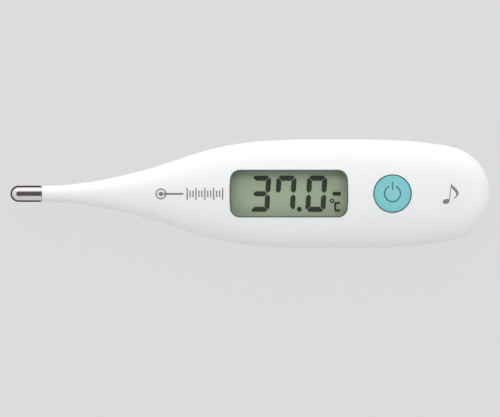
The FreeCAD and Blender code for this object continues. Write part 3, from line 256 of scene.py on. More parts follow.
# %% Metals
cap_steel = Finish("cap_steel", linear(228, 219, 220), 0.16, metallic=1.0)
cap_steel.mottle(0.5, 0.03, stretch=(1, 4, 4)).uneven_gloss(0.4, 0.1, 0.18, stretch=(4, 1, 1))
cap_steel.grain(0.12, 0.0002, stretch=(6, 1, 1))
spring_steel = Finish("spring_steel", linear(205, 202, 196), 0.3, metallic=1.0)
spring_steel.mottle(1.2, 0.05).uneven_gloss(0.6, 0.22, 0.4, stretch=(1, 5, 1))
spring_steel.grain(0.1, 0.001, stretch=(1, 6, 1))
cell_steel = Finish("cell_steel", linear(214, 214, 216), 0.22, metallic=1.0)
cell_steel.mottle(2.5, 0.03).uneven_gloss(1.0, 0.15, 0.3).grain(0.2, 0.001)
tin = Finish("tin", linear(208, 208, 208), 0.35, metallic=1.0).mottle(0.8, 0.04).grain(0.12, 0.002)
screw_zinc = Finish("screw_zinc", linear(200, 202, 206), 0.3, metallic=1.0)
screw_zinc.mottle(0.5, 0.05).grain(0.08, 0.001)
brass = Finish("brass", linear(212, 178, 106), 0.3, metallic=1.0).mottle(1.5, 0.06).grain(0.15, 0.001)
wear(cap_steel, "probe_cap")
wear(spring_steel, "buzzer_contacts", "battery_contact_minus", "battery_contact_plus", "switch_dome")
wear(cell_steel, "battery_can", "battery_cap")
wear(tin, "clock_crystal", "switch_cover")
wear(screw_zinc, "board_screws")
wear(brass, "buzzer_disc")

# %% [markdown]
# The button is turquoise plastic with a satin face. A spherical gradient about the button's middle paints
# shade on it: its middle is a touch paler than its edge, as the light falls on it.

# %% Button
BUTTON_TEAL = linear(134, 206, 209)
BUTTON_RADIUS = 4.95 * MM
button_teal = Finish("button_teal", BUTTON_TEAL, 0.34, IOR=1.48,
                     Subsurface_Weight=0.1, Subsurface_Scale=0.6 * MM)


def painted_edge_shade(finish, middle, radius, edge, centre):
    """Painted shade: colour from centre to edge over a ball about a point."""
    mapping = finish.node("ShaderNodeMapping", Scale=(1 / radius,) * 3)
    mapping.inputs["Location"].default_value = tuple(-c / radius for c in middle)
    finish.join(finish.place, mapping.inputs["Vector"])
    gradient = finish.node("ShaderNodeTexGradient", gradient_type="SPHERICAL")
    finish.join(mapping.outputs["Vector"], gradient.inputs["Vector"])
    ramp = finish.node("ShaderNodeValToRGB")
    outer, inner = ramp.color_ramp.elements
    outer.position, inner.position = 0.0, 0.75
    outer.color, inner.color = edge, centre
    finish.join(gradient.outputs["Fac"], ramp.inputs["Fac"])
    finish.join(ramp.outputs["Color"], finish.shader.inputs["Base Color"])


face_middle = (button_middle.x, button_middle.y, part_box("power_button")[1].z)
# Painted shade: the button is darker towards its edge and paler in the middle.
painted_edge_shade(button_teal, face_middle, BUTTON_RADIUS, linear(126, 202, 205), linear(142, 209, 212))
button_teal.uneven_gloss(1.2, 0.3, 0.4).grain(0.25, 0.0015)
wear(button_teal, "power_button")

# %% [markdown]
# ## The display
# The window is clear plastic, and the pane under it is clear glass. Both are almost fully see-through and
# keep a gloss, so light reaches the grey-green reflector under the dark digits.

# %% Window, glass, reflector and digits
def see_through(name, colour, alpha, roughness=0.06):
    finish = Finish(name, colour, roughness, IOR=1.49, Alpha=alpha)
    finish.uneven_gloss(3.0, roughness, roughness + 0.03).grain(2.0, 0.0004)
    return finish


window_clear = see_through("window_clear", linear(96, 104, 98), 0.02)
glass_clear = see_through("glass_clear", linear(96, 108, 100), 0.015, 0.03)
wear(window_clear, "display_window")

SAGE = linear(183, 199, 169)
reflector_sage = Finish("reflector_sage", SAGE, 0.6).mottle(0.25, 0.02).grain(0.08, 0.003)
wear(reflector_sage, "lcd_reflector")
digit_dark = Finish("digit_dark", linear(50, 55, 44), 0.5).mottle(0.4, 0.06).grain(0.1, 0.001)
wear(digit_dark, "lcd_segments")

# %% [markdown]
# ## Inside
# Nothing inside shows while the case is closed, but each piece still has the finish it would have on a
# bench: green solder mask, black resin, tan capacitors, pink elastomer and so on.

# %% Inner plastics, rubbers and ceramics
def moulded(name, colour, roughness, blotch_mm=2.0, spread=0.04, grain_mm=0.15, height_mm=0.002, **sockets):
    finish = Finish(name, colour, roughness, **sockets)
    return finish.mottle(blotch_mm, spread).grain(grain_mm, height_mm)


wear(moulded("adhesive", linear(214, 212, 204), 0.5, 1.0), "window_tape", "lcd_edge_seal", "buzzer_glue")
wear(moulded("foam_black", linear(46, 48, 46), 0.95, 0.3, 0.15, 0.1, 0.02), "display_gasket")
wear(moulded("frame_black", linear(52, 52, 55), 0.55), "lcd_frame", "switch_base")
wear(moulded("elastomer_pink", linear(196, 150, 166), 0.7, 0.5), "contact_strips")
wear(moulded("sensor_amber", linear(120, 84, 48), 0.1, 0.3, IOR=1.6), "thermistor")
wear(moulded("lead_red", linear(196, 70, 58), 0.4, 1.0), "thermistor_leads")
wear(moulded("filler_cream", linear(222, 216, 196), 0.45, 0.8), "tip_filler")
wear(moulded("resin_black", linear(26, 26, 28), 0.35, 0.8), "controller_blob", "chip_resistors")
wear(moulded("ceramic_tan", linear(178, 150, 112), 0.5, 0.3), "chip_capacitors")
wear(moulded("plunger_black", linear(60, 60, 62), 0.4), "switch_plunger")
wear(moulded("silicone_clear", linear(222, 226, 226), 0.4, 1.5,
             Subsurface_Weight=0.3, Subsurface_Scale=MM), "button_seal")
wear(moulded("piezo_cream", linear(232, 226, 208), 0.55, 0.4), "buzzer_ceramic")
wear(moulded("gasket_dark", linear(62, 62, 64), 0.6, 0.4), "battery_grommet")
wear(moulded("rubber_black", linear(38, 38, 40), 0.6, 0.8), "battery_cover_seal")

# %% [markdown]
# The circuit board is green solder mask over copper. A brick pattern with thin mortar stands for the
# tracks, and shows as slightly paler lines in the green.

# %% Circuit board
board_green = Finish("board_green", linear(30, 98, 58), 0.32, IOR=1.55)
tracks = board_green.node("ShaderNodeTexBrick", Scale=1 / (6 * MM))
tracks.inputs["Color1"].default_value = linear(30, 98, 58)
tracks.inputs["Color2"].default_value = linear(24, 88, 50)
tracks.inputs["Mortar"].default_value = linear(70, 140, 84)
tracks.inputs["Mortar Size"].default_value = 0.03
board_green.join(board_green.place, tracks.inputs["Vector"])
board_green.join(tracks.outputs["Color"], board_green.shader.inputs["Base Color"])
board_green.grain(0.4, 0.004)
wear(board_green, "main_board")

# %% [markdown]
# The back has a blank label: a matt silver-grey film with a fine fibre in it.

# %% Label
label_grey = Finish("label_grey", linear(214, 217, 220), 0.55)
label_grey.mottle(0.3, 0.02, stretch=(0.2, 1, 1)).grain(0.12, 0.001)
wear(label_grey, "back_label")

# %% [markdown]
# ## Pieces the frame doesn't have
# The upper film and glass of the display are drawn as one clear pane with the digits in its foot, so that
# light crosses few surfaces on its way down and back. The rear glass and the reflector behind it are one
# grey-green plate, a hair under the pane, so the digits are crisp and drop almost no shadow. Both start as
# cubes the size of the sheets that they stand for. Their upright edges are rounded, and the long sides of
# the pane's upper rim are bevelled.

# %% Pane and reflector of the display
def stretch_to(piece, low, high):
    """Scales and moves a fresh two-metre cube onto a box."""
    piece.scale = [(b - a) / 2 for a, b in zip(low, high)]
    piece.location = [(a + b) / 2 for a, b in zip(low, high)]
    return piece


def rounded_plate(name, low, high, radius=0.3 * MM):
    """A cube stretched onto a box, with its upright edges rounded."""
    let_go()
    bpy.ops.mesh.primitive_cube_add(size=2.0)
    plate = freeze(stretch_to(bpy.context.object, low, high), name)
    corners = plate.data.vertices

    def upright(edge):
        return abs(corners[edge.vertices[0]].co.z - corners[edge.vertices[1]].co.z) > 1e-5

    pick(plate, "EDGE", upright)
    bpy.ops.mesh.bevel(offset=radius, segments=3)
    leave_edit()
    return plate


glass_low, glass_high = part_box("lcd_front_glass")
film_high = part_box("lcd_front_polariser")[1]
rear_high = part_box("lcd_rear_glass")[1]
reflector_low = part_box("lcd_reflector")[0]
pane = rounded_plate("display_pane", (glass_low.x, glass_low.y, rear_high.z),
                     (glass_high.x, glass_high.y, film_high.z))
RIM_INSET, RIM_BEVEL, RIM_REACH = 0.12 * MM, 0.08 * MM, 0.05 * MM


def on_long_rim(edge):
    """Whether both ends of an edge are at the top of the pane, along a long side."""
    ends = [pane.data.vertices[v].co for v in edge.vertices]
    return all(end.z > film_high.z - 1e-6 and abs(end.y) > glass_high.y - RIM_REACH for end in ends)


pick(pane, "FACE", lambda face: face.normal.z > 0.9)
bpy.ops.mesh.inset(thickness=RIM_INSET, depth=0.0)
leave_edit()
pick(pane, "EDGE", on_long_rim)
bpy.ops.mesh.bevel(offset=RIM_BEVEL, segments=2)
leave_edit()
pane.data.materials.append(glass_clear.material)
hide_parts("lcd_front_glass", "lcd_front_polariser")
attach(pane, "case")

PLATE_GAP = 0.02 * MM
reflector_plate = rounded_plate("reflector_plate", reflector_low,
                                (rear_high.x, rear_high.y, rear_high.z - PLATE_GAP))
reflector_plate.data.materials.append(reflector_sage.material)
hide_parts("lcd_rear_glass", "lcd_reflector")
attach(reflector_plate, "case")
print("pane", len(pane.data.polygons), "faces")

# %% [markdown]
# Prints, the dark band round the window and the painted shade in the button's groove follow the surface they
# sit on. Each is modelled flat above the body, and a Shrinkwrap modifier drops it straight down, a few
# micrometres proud. A Solidify modifier then gives it the thickness of a thin film. The wires of the two
# lips are dropped in the same way, but a little sunk.

# %% Dropping a flat shape onto the body
FILM = 0.012 * MM
ABOVE = case_high.z + 2 * MM


def drop_onto(piece, target, proud=0.008 * MM):
    """Drops each corner of a piece straight down onto a target, and a little proud of it."""
    wrap = piece.modifiers.new("drop", "SHRINKWRAP")
    wrap.target = target
    wrap.wrap_method = "PROJECT"
    wrap.use_project_z = True
    wrap.use_negative_direction = True
    wrap.use_positive_direction = False
    wrap.offset = proud
    return apply_all(piece)


def thicken(piece, thickness=FILM):
    """Gives a flat shape a thickness along its own normals, and closes it."""
    wall = piece.modifiers.new("ink", "SOLIDIFY")
    wall.thickness = thickness
    wall.offset = 1.0
    return apply_all(piece)


def face_up(piece):
    """Merges doubled corners and turns a flat shape's faces upwards."""
    take(piece)
    edit("FACE")
    bpy.ops.mesh.select_all(action="SELECT")
    bpy.ops.mesh.remove_doubles(threshold=0.002 * MM)
    bpy.ops.mesh.normals_make_consistent(inside=False)
    leave_edit()
    if piece.data.polygons[0].normal.z < 0:
        edit("FACE")
        bpy.ops.mesh.select_all(action="SELECT")
        bpy.ops.mesh.flip_normals()
        leave_edit()
    return piece


def join_pieces(name, pieces):
    """Joins pieces into one, frozen at the origin."""
    let_go()
    for piece in pieces:
        piece.select_set(True)
    bpy.context.view_layer.objects.active = pieces[0]
    bpy.ops.object.join()
    return freeze(bpy.context.object, name)


# %% [markdown]
# The window's own outline is wanted twice: for the dark band along its edge, partly a printed border and
# partly painted shadow of the joint between window and case, and for the rounded lip of the case round it. A
# copy of the window is merged, cut across with Bisect, and only the loop at the cut is kept.

# %% The window's outline as a loop
def section_loop(node, height, name):
    """The outline of a copy of a node, cut level at a height."""
    copy = nodes[node].copy()
    copy.data = nodes[node].data.copy()
    copy.parent = None
    bpy.context.scene.collection.objects.link(copy)
    take(copy)
    copy.name = name
    edit("VERT")
    bpy.ops.mesh.select_all(action="SELECT")
    bpy.ops.mesh.remove_doubles(threshold=0.001 * MM)
    bpy.ops.mesh.select_all(action="SELECT")
    bpy.ops.mesh.bisect(plane_co=(0, 0, height), plane_no=(0, 0, 1), clear_inner=True, clear_outer=True)
    leave_edit()
    return copy


def longest_loop(piece):
    """Splits a piece into its loose loops, and keeps only the one with the longest box."""
    take(piece)
    edit("VERT")
    bpy.ops.mesh.separate(type="LOOSE")
    leave_edit()
    loops = sorted(bpy.context.selected_objects, key=lambda loop: -loop.dimensions.length)
    for loop in loops[1:]:
        bpy.data.objects.remove(loop)
    return loops[0]


CUT_BELOW_CROWN = 0.9 * MM
window_loop = longest_loop(section_loop("display_window", case_high.z - CUT_BELOW_CROWN, "window_loop"))
print("window outline", [round(side / MM, 2) for side in window_loop.dimensions])

# %% [markdown]
# A bead is a loop turned into a curve with a round bevel. It gives a sharp moulded edge the small soft
# radius that catches a line of light. The loops are evened out first, so that the bead is smooth.

# %% Offset loops and beads
def loop_points(piece):
    """The corners of one closed loop, in order of their direction from a point inside it."""
    corners = [vertex.co.copy() for vertex in piece.data.vertices]
    start, end = min(c.x for c in corners), max(c.x for c in corners)
    inside = (start + 2 * end) / 3
    return sorted(corners, key=lambda c: math.atan2(c.y, c.x - inside))


def offset_loop(points, distance):
    """The loop moved outwards in its plane, each point along the bisector of its corner."""
    turn = sum(a.x * b.y - b.x * a.y for a, b in zip(points, points[1:] + points[:1]))
    sign = 1 if turn > 0 else -1
    moved = []
    for before, here, after in zip(points[-1:] + points[:-1], points, points[1:] + points[:1]):
        along = (here - before).normalized() + (after - here).normalized()
        along.normalize()
        moved.append((here.x + sign * distance * along.y, here.y - sign * distance * along.x))
    return moved


def even_loop(points, spacing):
    """Points at an even spacing along a closed loop."""
    corners = [(p[0], p[1]) for p in points]
    runs = [math.dist(a, b) for a, b in zip(corners, corners[1:] + corners[:1])]
    count = max(24, round(sum(runs) / spacing))
    evened, target, travelled = [], 0.0, 0.0
    step = sum(runs) / count
    for (a, b), run in zip(zip(corners, corners[1:] + corners[:1]), runs):
        while target < travelled + run - 1e-12 and len(evened) < count:
            share = (target - travelled) / run
            evened.append((a[0] + share * (b[0] - a[0]), a[1] + share * (b[1] - a[1])))
            target += step
        travelled += run
    return evened


def wire_loop(name, points, height):
    """A closed wire through points: a bare circle with one corner for each, pulled onto them."""
    return pulled_circle(name, points, height, "NOTHING")


def pulled_circle(name, points, height, fill):
    """A circle whose corners are moved onto the given points, at a height."""
    let_go()
    bpy.ops.mesh.primitive_circle_add(vertices=len(points), radius=1 * MM, fill_type=fill)
    shape = freeze(bpy.context.object, name)
    for vertex, (x, y) in zip(shape.data.vertices, points):
        vertex.co = (x, y, height)
    return shape


def bead_on(name, loop, radius, material, body="case"):
    """Turns a wire into a round bead."""
    take(loop)
    bpy.ops.object.convert(target="CURVE")
    bead = bpy.context.object
    bead.data.bevel_depth = radius
    bead.data.bevel_resolution = 3
    bead.data.use_fill_caps = False
    bpy.ops.object.convert(target="MESH")
    bead = freeze(bpy.context.object, name)
    bpy.ops.object.shade_smooth()
    bead.data.materials.clear()
    bead.data.materials.append(material)
    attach(bead, body)
    return bead


# %% Rounded lip of the case round the window
BEAD = 0.13 * MM
BEAD_SUNK, BEAD_OUTSIDE = 0.55 * BEAD, 0.6 * BEAD
WINDOW_JOINT, WINDOW_SPACING = 0.12 * MM, 0.35 * MM
outline = loop_points(window_loop)
bpy.data.objects.remove(window_loop)
lip_points = even_loop(offset_loop(outline, WINDOW_JOINT + BEAD_OUTSIDE), WINDOW_SPACING)
lip_wire = drop_onto(wire_loop("window_lip", lip_points, ABOVE), nodes["upper_case"], proud=-BEAD_SUNK)
window_lip = bead_on("window_lip", lip_wire, BEAD, case_white.material)
print("lip", len(window_lip.data.polygons), "faces")

# %% [markdown]
# The dark band round the window is partly a printed border and partly painted shadow of the joint between
# window and case. It is a closed band a quarter of a millimetre wide. The outline is filled, Inset cuts the
# band from its edge, and the face inside it is deleted.

# %% Dark band round the window: printed border and painted joint shadow
# Painted shade: this grey stands partly for a printed border, partly for the shadow in the joint between
# window and case.
border_and_shade_grey = Finish("border_and_shade_grey", linear(92, 98, 92), 0.35).mottle(0.4, 0.05).grain(0.1, 0.0005)
BAND_WIDTH, BAND_SUNK, BAND_FILM = 0.26 * MM, 0.02 * MM, 0.006 * MM
border_and_shade_points = even_loop(offset_loop(outline, -BAND_SUNK), WINDOW_SPACING)
border_and_shade = face_up(pulled_circle("window_border_and_shade", border_and_shade_points, ABOVE, "NGON"))
pick(border_and_shade, "FACE", lambda face: True)
bpy.ops.mesh.inset(thickness=BAND_WIDTH, depth=0.0, use_even_offset=True)
bpy.ops.mesh.delete(type="FACE")
leave_edit()
drop_onto(border_and_shade, nodes["display_window"], proud=BAND_FILM)
thicken(border_and_shade, BAND_FILM)
border_and_shade.data.materials.append(border_and_shade_grey.material)
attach(border_and_shade, "case")
print("border_and_shade", len(border_and_shade.data.polygons), "faces")

# %% [markdown]
# The hole of the button has the same soft lip. Here the loop is a circle.

# %% Lip of the button's hole
def arc(middle, radius, start, end, steps=64):
    """Points on a circle from one direction to another."""
    turns = [start + (end - start) * i / steps for i in range(steps + 1)]
    return [(middle.x + radius * math.cos(t), middle.y + radius * math.sin(t)) for t in turns]


HOLE_RADIUS = 5.25 * MM
hole_points = arc(button_middle, HOLE_RADIUS + BEAD_OUTSIDE, 0, 2 * math.pi, 96)[:-1]
hole_wire = drop_onto(wire_loop("button_lip", hole_points, ABOVE), nodes["upper_case"], proud=-BEAD_SUNK)
bead_on("button_lip", hole_wire, BEAD, case_white.material)

# %% [markdown]
# The symbol on the button is pressed into it, and its groove is painted a darker teal for the shade that
# falls in it. The ring is a strip bent round from one side of its opening to the other, and the bar is a
# plane. Both lie on the floor of the groove.

# %% Painted shade in the power symbol's groove
SYMBOL_RADIUS, SYMBOL_LINE_WIDTH, SYMBOL_OPENING, BAR_LENGTH = 2.15 * MM, 0.34 * MM, math.radians(27), 2.05 * MM
# Painted shade: the darker teal stands for the shade in the symbol's groove.
groove_shade_teal = Finish("groove_shade_teal", linear(86, 160, 165), 0.45).mottle(0.3, 0.08).grain(0.08, 0.001)


def ribbon(name, middles, widths, height, across=2):
    """A flat strip along a line of points in metres, with a width at each: a grid, bent onto the line."""
    last = len(middles) - 1
    let_go()
    bpy.ops.mesh.primitive_grid_add(x_subdivisions=last, y_subdivisions=across, size=1.0)
    strip = freeze(bpy.context.object, name)
    for vertex in strip.data.vertices:
        i = round((vertex.co.x + 0.5) * last)
        before, here, after = (Vector(middles[j]) for j in (max(i - 1, 0), i, min(i + 1, last)))
        along = (after - before).normalized()
        reach = vertex.co.y * widths[i]
        vertex.co = (here.x - along.y * reach, here.y + along.x * reach, height)
    return face_up(strip)


def band(name, middle, radius, width, start, end, height):
    """A strip of one width, bent round a middle."""
    points = arc(middle, radius, start, end)
    return ribbon(name, points, [width] * len(points), height)


def flat_plate(name, middle_x, middle_y, length, width, height, cuts=6):
    """A flat rectangle, cut into small faces so that it can follow a curved body."""
    let_go()
    bpy.ops.mesh.primitive_plane_add(size=1.0, location=(middle_x, middle_y, height))
    plate = bpy.context.object
    plate.scale = (length, width, 1)
    freeze(plate, name)
    edit("FACE")
    bpy.ops.mesh.select_all(action="SELECT")
    bpy.ops.mesh.subdivide(number_cuts=cuts)
    leave_edit()
    return plate


symbol_ring = band("symbol_ring", button_middle, SYMBOL_RADIUS, SYMBOL_LINE_WIDTH,
                   math.pi / 2 + SYMBOL_OPENING, math.pi * 2.5 - SYMBOL_OPENING, ABOVE)
symbol_bar = flat_plate("symbol_bar", button_middle.x, button_middle.y + SYMBOL_RADIUS - 0.125 * MM,
                        SYMBOL_LINE_WIDTH, BAR_LENGTH, ABOVE)
symbol = join_pieces("power_symbol_groove_shade", [symbol_ring, symbol_bar])
drop_onto(symbol, nodes["power_button"], proud=0.015 * MM)
thicken(symbol)
symbol.data.materials.append(groove_shade_teal.material)
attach(symbol, "power_button")
print("symbol", len(symbol.data.polygons), "faces")

# %% [markdown]
# A small dome in the button's own finish is set in the middle of the button, for a finger to find. It is
# half of a sphere, flattened, and no higher than the button itself.

# %% Finger dot
DOT_RADIUS, DOT_FLATNESS, DOT_DEPTH, DOT_CUT = 0.42 * MM, 0.45, 0.19 * MM, 0.2 * MM
let_go()
button_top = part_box("power_button")[1].z
bpy.ops.mesh.primitive_uv_sphere_add(segments=32, ring_count=16, radius=DOT_RADIUS,
                                     location=(button_middle.x, button_middle.y, button_top - DOT_DEPTH))
dot = bpy.context.object
dot.scale = (1, 1, DOT_FLATNESS)
freeze(dot, "finger_dot")
pick(dot, "VERT", lambda vertex: vertex.co.z < button_top - DOT_CUT)
bpy.ops.mesh.delete(type="VERT")
bpy.ops.mesh.select_all(action="SELECT")
bpy.ops.mesh.edge_face_add()
leave_edit()
take(dot)
bpy.ops.object.shade_smooth_by_angle(angle=math.radians(50))
dot.data.materials.append(button_teal.material)
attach(dot, "power_button")

# %% [markdown]
# ## Prints on the case
# A grey note shows that the thermometer sounds when it is ready. Its head is a circle that is squeezed
# and tilted. Its stem and its flag are strips, and the flag swells and then thins to a point.

# %% Grey ink and the note
print_grey = Finish("print_grey", linear(128, 128, 128), 0.5).mottle(0.3, 0.04).grain(0.08, 0.0008)


def between(before, start, end, after, t):
    """A number on a smooth line from start to end, t of the way along, with its neighbours on both sides."""
    bend = 2 * before - 5 * start + 4 * end - after
    twist = 3 * start - before - 3 * end + after
    return 0.5 * (2 * start + (end - before) * t + bend * t * t + twist * t ** 3)


def smooth_line(stations, steps=8):
    """Middles and widths along a smooth line through stations of x, y and width, in millimetres."""
    ends = [stations[0]] + stations + [stations[-1]]
    middles, widths = [], []
    for before, start, end, after in zip(ends, ends[1:], ends[2:], ends[3:]):
        for i in range(steps):
            x, y, width = (between(*four, i / steps) for four in zip(before, start, end, after))
            middles.append(mm(x, y))
            widths.append(width * MM)
    middles.append(mm(*stations[-1][:2]))
    widths.append(stations[-1][2] * MM)
    return middles, widths


def disc(name, x, y, radius, stretch=(1, 1), turn=0.0):
    """A fan of triangles, cut finer so that it can follow a curved body. Places are in millimetres."""
    let_go()
    bpy.ops.mesh.primitive_circle_add(vertices=40, radius=radius * MM, fill_type="TRIFAN")
    made = bpy.context.object
    made.scale = (*stretch, 1)
    bpy.ops.object.transform_apply(location=False, rotation=False, scale=True)
    made.rotation_euler.z = turn
    made.location = (x * MM, y * MM, ABOVE)
    freeze(made, name)
    edit("FACE")
    bpy.ops.mesh.select_all(action="SELECT")
    bpy.ops.mesh.subdivide(number_cuts=2)
    leave_edit()
    return made


note_head = disc("note_head", 52.98, -2.09, 0.93, (1, 0.7), math.radians(15))
STEM_STATIONS = [(53.86, -1.9, 0.22), (54.14, 0.3, 0.22), (54.42, 2.6, 0.22)]
FLAG_STATIONS = [(54.42, 2.5, 0.22), (54.55, 2.15, 0.4), (55.01, 1.53, 0.72), (55.7, 0.8, 0.76),
                 (56.05, 0.11, 0.66), (55.88, -0.49, 0.42), (55.4, -1.05, 0.24), (54.86, -1.37, 0.08)]
note_stem = ribbon("note_stem", *smooth_line(STEM_STATIONS), ABOVE)
note_flag = ribbon("note_flag", *smooth_line(FLAG_STATIONS), ABOVE)
note = join_pieces("note_print", [note_head, note_stem, note_flag])
drop_onto(note, nodes["upper_case"])
thicken(note)
note.data.materials.append(print_grey.material)
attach(note, "case")
print("note", len(note.data.polygons), "faces")

# %% [markdown]
# Where a maker would put a name, this body has a plain picture: a small thermometer lying along the body
# with a scale of ticks beside it.

# %% Thermometer picture and scale
PICTURE_X, PICTURE_Y = -24.1, -0.05
picture_middle = Vector(mm(PICTURE_X, PICTURE_Y, 0))
BULB_RADIUS, HEART_RADIUS, PICTURE_LINE = 1.3 * MM, 0.62, 0.34 * MM
bulb = band("picture_bulb", picture_middle, BULB_RADIUS, PICTURE_LINE, 0.0, 2 * math.pi, ABOVE)
bulb_heart = disc("picture_heart", PICTURE_X, PICTURE_Y, HEART_RADIUS)
column = flat_plate("picture_column", (PICTURE_X + 3.4) * MM, PICTURE_Y * MM, 5.4 * MM, 0.5 * MM, ABOVE, 8)
marks = [bulb, bulb_heart, column]
TICK_START, TICK_STEP, TICK_COUNT, TALL_TICK, SHORT_TICK = -17.0, 0.8, 13, 3.2, 1.8
for i in range(TICK_COUNT):
    tick_x = (TICK_START + i * TICK_STEP) * MM
    tall = (SHORT_TICK if i % 3 else TALL_TICK) * MM
    marks.append(flat_plate(f"tick_{i}", tick_x, PICTURE_Y * MM, PICTURE_LINE, tall, ABOVE, 3))
picture = join_pieces("scale_print", marks)
drop_onto(picture, nodes["upper_case"])
thicken(picture)
picture.data.materials.append(print_grey.material)
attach(picture, "case")
print("picture", len(picture.data.polygons), "faces")

# %% [markdown]
# ## Seam, glue and marks on the back
# A fine line of shade runs round the body where its two halves are welded. It is the outline of the upper
# half, cut just above the seam and drawn in a little, with a hair-thin bead along it.

# %% Seam line
seam_grey = Finish("seam_grey", linear(196, 198, 200), 0.5).mottle(1.0, 0.05).grain(0.1, 0.001)
SEAM_BEAD, SEAM_SUNK, SEAM_CUT, SEAM_SPACING = 0.045 * MM, 0.042 * MM, 0.06 * MM, 0.6 * MM
seam_loop = longest_loop(section_loop("upper_case", seam_height + SEAM_CUT, "seam_loop"))
seam_points = even_loop(offset_loop(loop_points(seam_loop), -SEAM_SUNK), SEAM_SPACING)
bpy.data.objects.remove(seam_loop)
seam_wire = wire_loop("seam_line", seam_points, seam_height)
seam = bead_on("seam_line", seam_wire, SEAM_BEAD, seam_grey.material)
print("seam", [round(side / MM, 2) for side in seam.dimensions])

# %% [markdown]
# A thin dark ring runs where the steel of the cap meets the plastic. It is a torus stood up across the
# probe, with its rear half squeezed flatter.

# %% Dark ring behind the cap
cap_low, cap_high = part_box("probe_cap")
cap_radius = (cap_high.y - cap_low.y) / 2
cap_ring_dark = Finish("cap_ring_dark", linear(96, 92, 92), 0.4).mottle(0.3, 0.08).grain(0.08, 0.001)
RING_BEAD, RING_SUNK, RING_SQUEEZE = 0.06 * MM, 0.03 * MM, 0.3
let_go()
bpy.ops.mesh.primitive_torus_add(major_radius=cap_radius - RING_SUNK, minor_radius=RING_BEAD,
                                 major_segments=64, minor_segments=10,
                                 location=(cap_high.x, 0, seam_height), rotation=(0, math.pi / 2, 0))
cap_ring = freeze(bpy.context.object, "cap_dark_ring")
pick(cap_ring, "VERT", lambda vertex: vertex.co.x > cap_high.x)
bpy.ops.transform.resize(value=(RING_SQUEEZE, 1, 1), center_override=(cap_high.x, 0, seam_height))
leave_edit()
take(cap_ring)
bpy.ops.object.shade_smooth()
cap_ring.data.materials.append(cap_ring_dark.material)
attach(cap_ring, "case")

# %% [markdown]
# The back tells how to open the battery cover: a curved arrow, raised on the cover, points the way it
# turns.

# %% Marks of the battery cover
COVER_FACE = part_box("battery_cover")[0].z
ARROW_RADIUS, ARROW_TIP, ARROW_LENGTH = 7.7 * MM, math.radians(200), math.radians(60)
HEAD_LENGTH, HEAD_WIDTH, HEAD_STEPS, POINT_WIDTH = math.radians(11), 1.5 * MM, 8, 0.02 * MM
SHAFT_WIDTH, ARROW_RISE, ARROW_THICKNESS = 0.4 * MM, 0.02 * MM, 0.04 * MM
head_end = ARROW_TIP + HEAD_LENGTH
head_arc = arc(cover_middle, ARROW_RADIUS, ARROW_TIP, head_end, HEAD_STEPS)
head_widths = [POINT_WIDTH + HEAD_WIDTH * i / HEAD_STEPS for i in range(HEAD_STEPS + 1)]
arrow_head = ribbon("arrow_head", head_arc, head_widths, COVER_FACE - ARROW_RISE)
arrow_band = band("arrow_band", cover_middle, ARROW_RADIUS, SHAFT_WIDTH, head_end, ARROW_TIP + ARROW_LENGTH,
                  COVER_FACE - ARROW_RISE)
arrow = join_pieces("cover_arrow", [arrow_band, arrow_head])
thicken(face_up(arrow), ARROW_THICKNESS)
arrow.data.materials.append(cover_white.material)
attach(arrow, "battery_cover")
print("arrow", len(arrow.data.polygons), "faces")

# %% [markdown]
# ## Floor and light
# The body lies on a sheet that glows, so it hardly shows a shadow. The sheet gives most of its brightness
# itself, and the rest is plain white paper that takes a faint contact shadow.

# %% Glowing floor
GLOW = 0.94
PAPER = linear(219, 221, 220)
let_go()
bpy.ops.mesh.primitive_plane_add(size=6.0, location=(0, 0, 0))
floor = freeze(bpy.context.object, "floor")
floor_finish = Finish("floor_paper", shade_of(PAPER, 1 - GLOW), 0.9)
floor_finish.shader.inputs["Emission Color"].default_value = PAPER
floor_finish.shader.inputs["Emission Strength"].default_value = GLOW
floor_finish.shader.inputs["Specular IOR Level"].default_value = 0.0
floor.data.materials.append(floor_finish.material)

# %% [markdown]
# A tent of soft light surrounds the body, brighter and whiter on the far side, with an opening straight
# above where the camera looks in. The opening is what draws the dark line along the steel cap. The tent
# is the world's own light, worked out from the direction alone.

# %% Tent of light
TENT_STRENGTH = 1.1
OPENING_EDGE, OPENING_DARK = 0.80, 0.88
world = bpy.data.worlds.new("tent")
bpy.context.scene.world = world
world.use_nodes = True
tent = world.node_tree
background = tent.nodes["Background"]
direction = tent.nodes.new("ShaderNodeTexCoord").outputs["Generated"]
split = tent.nodes.new("ShaderNodeSeparateXYZ")
tent.links.new(direction, split.inputs["Vector"])
opening = tent.nodes.new("ShaderNodeValToRGB")
bright_end, dark_end = opening.color_ramp.elements
bright_end.position, bright_end.color = OPENING_EDGE, (1, 1, 1, 1)
dark_end.position, dark_end.color = OPENING_DARK, (0.12, 0.12, 0.13, 1)
tent.links.new(split.outputs["Z"], opening.inputs["Fac"])
across = tent.nodes.new("ShaderNodeMapRange")
across.inputs["From Min"].default_value, across.inputs["From Max"].default_value = -1.0, 1.0
tent.links.new(split.outputs["Y"], across.inputs["Value"])
side = tent.nodes.new("ShaderNodeValToRGB")
near_side, far_side = side.color_ramp.elements
near_side.color, far_side.color = (0.66, 0.68, 0.71, 1), (0.98, 0.98, 0.98, 1)
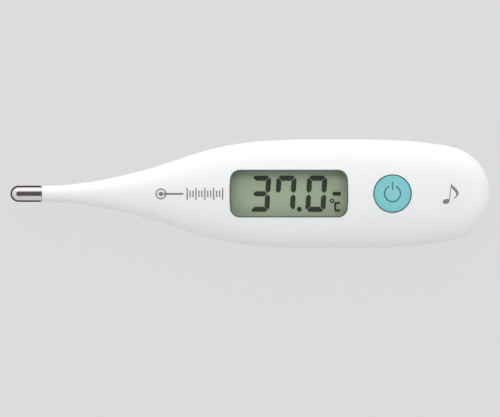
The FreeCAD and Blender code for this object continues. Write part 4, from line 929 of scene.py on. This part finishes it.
tent.links.new(across.outputs["Result"], side.inputs["Fac"])
both = tent.nodes.new("ShaderNodeMix")
both.data_type = "RGBA"
both.blend_type = "MULTIPLY"
both.inputs["Factor"].default_value = 1.0
tent.links.new(opening.outputs["Color"], both.inputs["A"])
tent.links.new(side.outputs["Color"], both.inputs["B"])
tent.links.new(both.outputs["Result"], background.inputs["Color"])
background.inputs["Strength"].default_value = TENT_STRENGTH

# %% [markdown]
# A long soft box beyond the far edge puts the bright line along the top of the body. A wide one overhead
# lights the face, the display and the button. Glossy surfaces don't see that one, so the opening of the tent
# stays dark in the steel.

# %% Soft boxes
def soft_box(name, place, aim_at, width, height, power):
    let_go()
    bpy.ops.object.light_add(type="AREA", location=place)
    lamp = bpy.context.object
    lamp.name = name
    lamp.data.shape = "RECTANGLE"
    lamp.data.size, lamp.data.size_y = width, height
    lamp.data.energy = power
    reach = [b - a for a, b in zip(place, aim_at)]
    flat = math.hypot(reach[0], reach[1])
    lamp.rotation_euler = (math.atan2(flat, -reach[2]), 0, math.atan2(-reach[0], reach[1]) if flat else 0)
    return lamp


soft_box("far_box", place=(0.0, 0.6, 0.3), aim_at=(0, 0, 0), width=0.9, height=0.2, power=0.9)
top_box = soft_box("top_box", place=(0.0, 0.3, 0.6), aim_at=(0, 0, 0), width=0.5, height=0.25, power=1.15)
top_box.visible_glossy = False

# %% [markdown]
# A black card lies under the steel tip. It is seen in reflections only, where it gives the cap its thin
# dark outline. It casts no shadow and doesn't show to the camera.

# %% Black card
CARD_X, CARD_HEIGHT, CARD_LENGTH, CARD_WIDTH = mm(-72.5, 0.4, 31, 44)
let_go()
bpy.ops.mesh.primitive_plane_add(size=1.0, location=(CARD_X, 0, CARD_HEIGHT))
card = bpy.context.object
card.scale = (CARD_LENGTH, CARD_WIDTH, 1)
freeze(card, "black_card")
card_finish = Finish("card_black", linear(20, 20, 20), 0.9)
card.data.materials.append(card_finish.material)
card.visible_camera = False
card.visible_diffuse = False
card.visible_shadow = False
card.visible_transmission = False
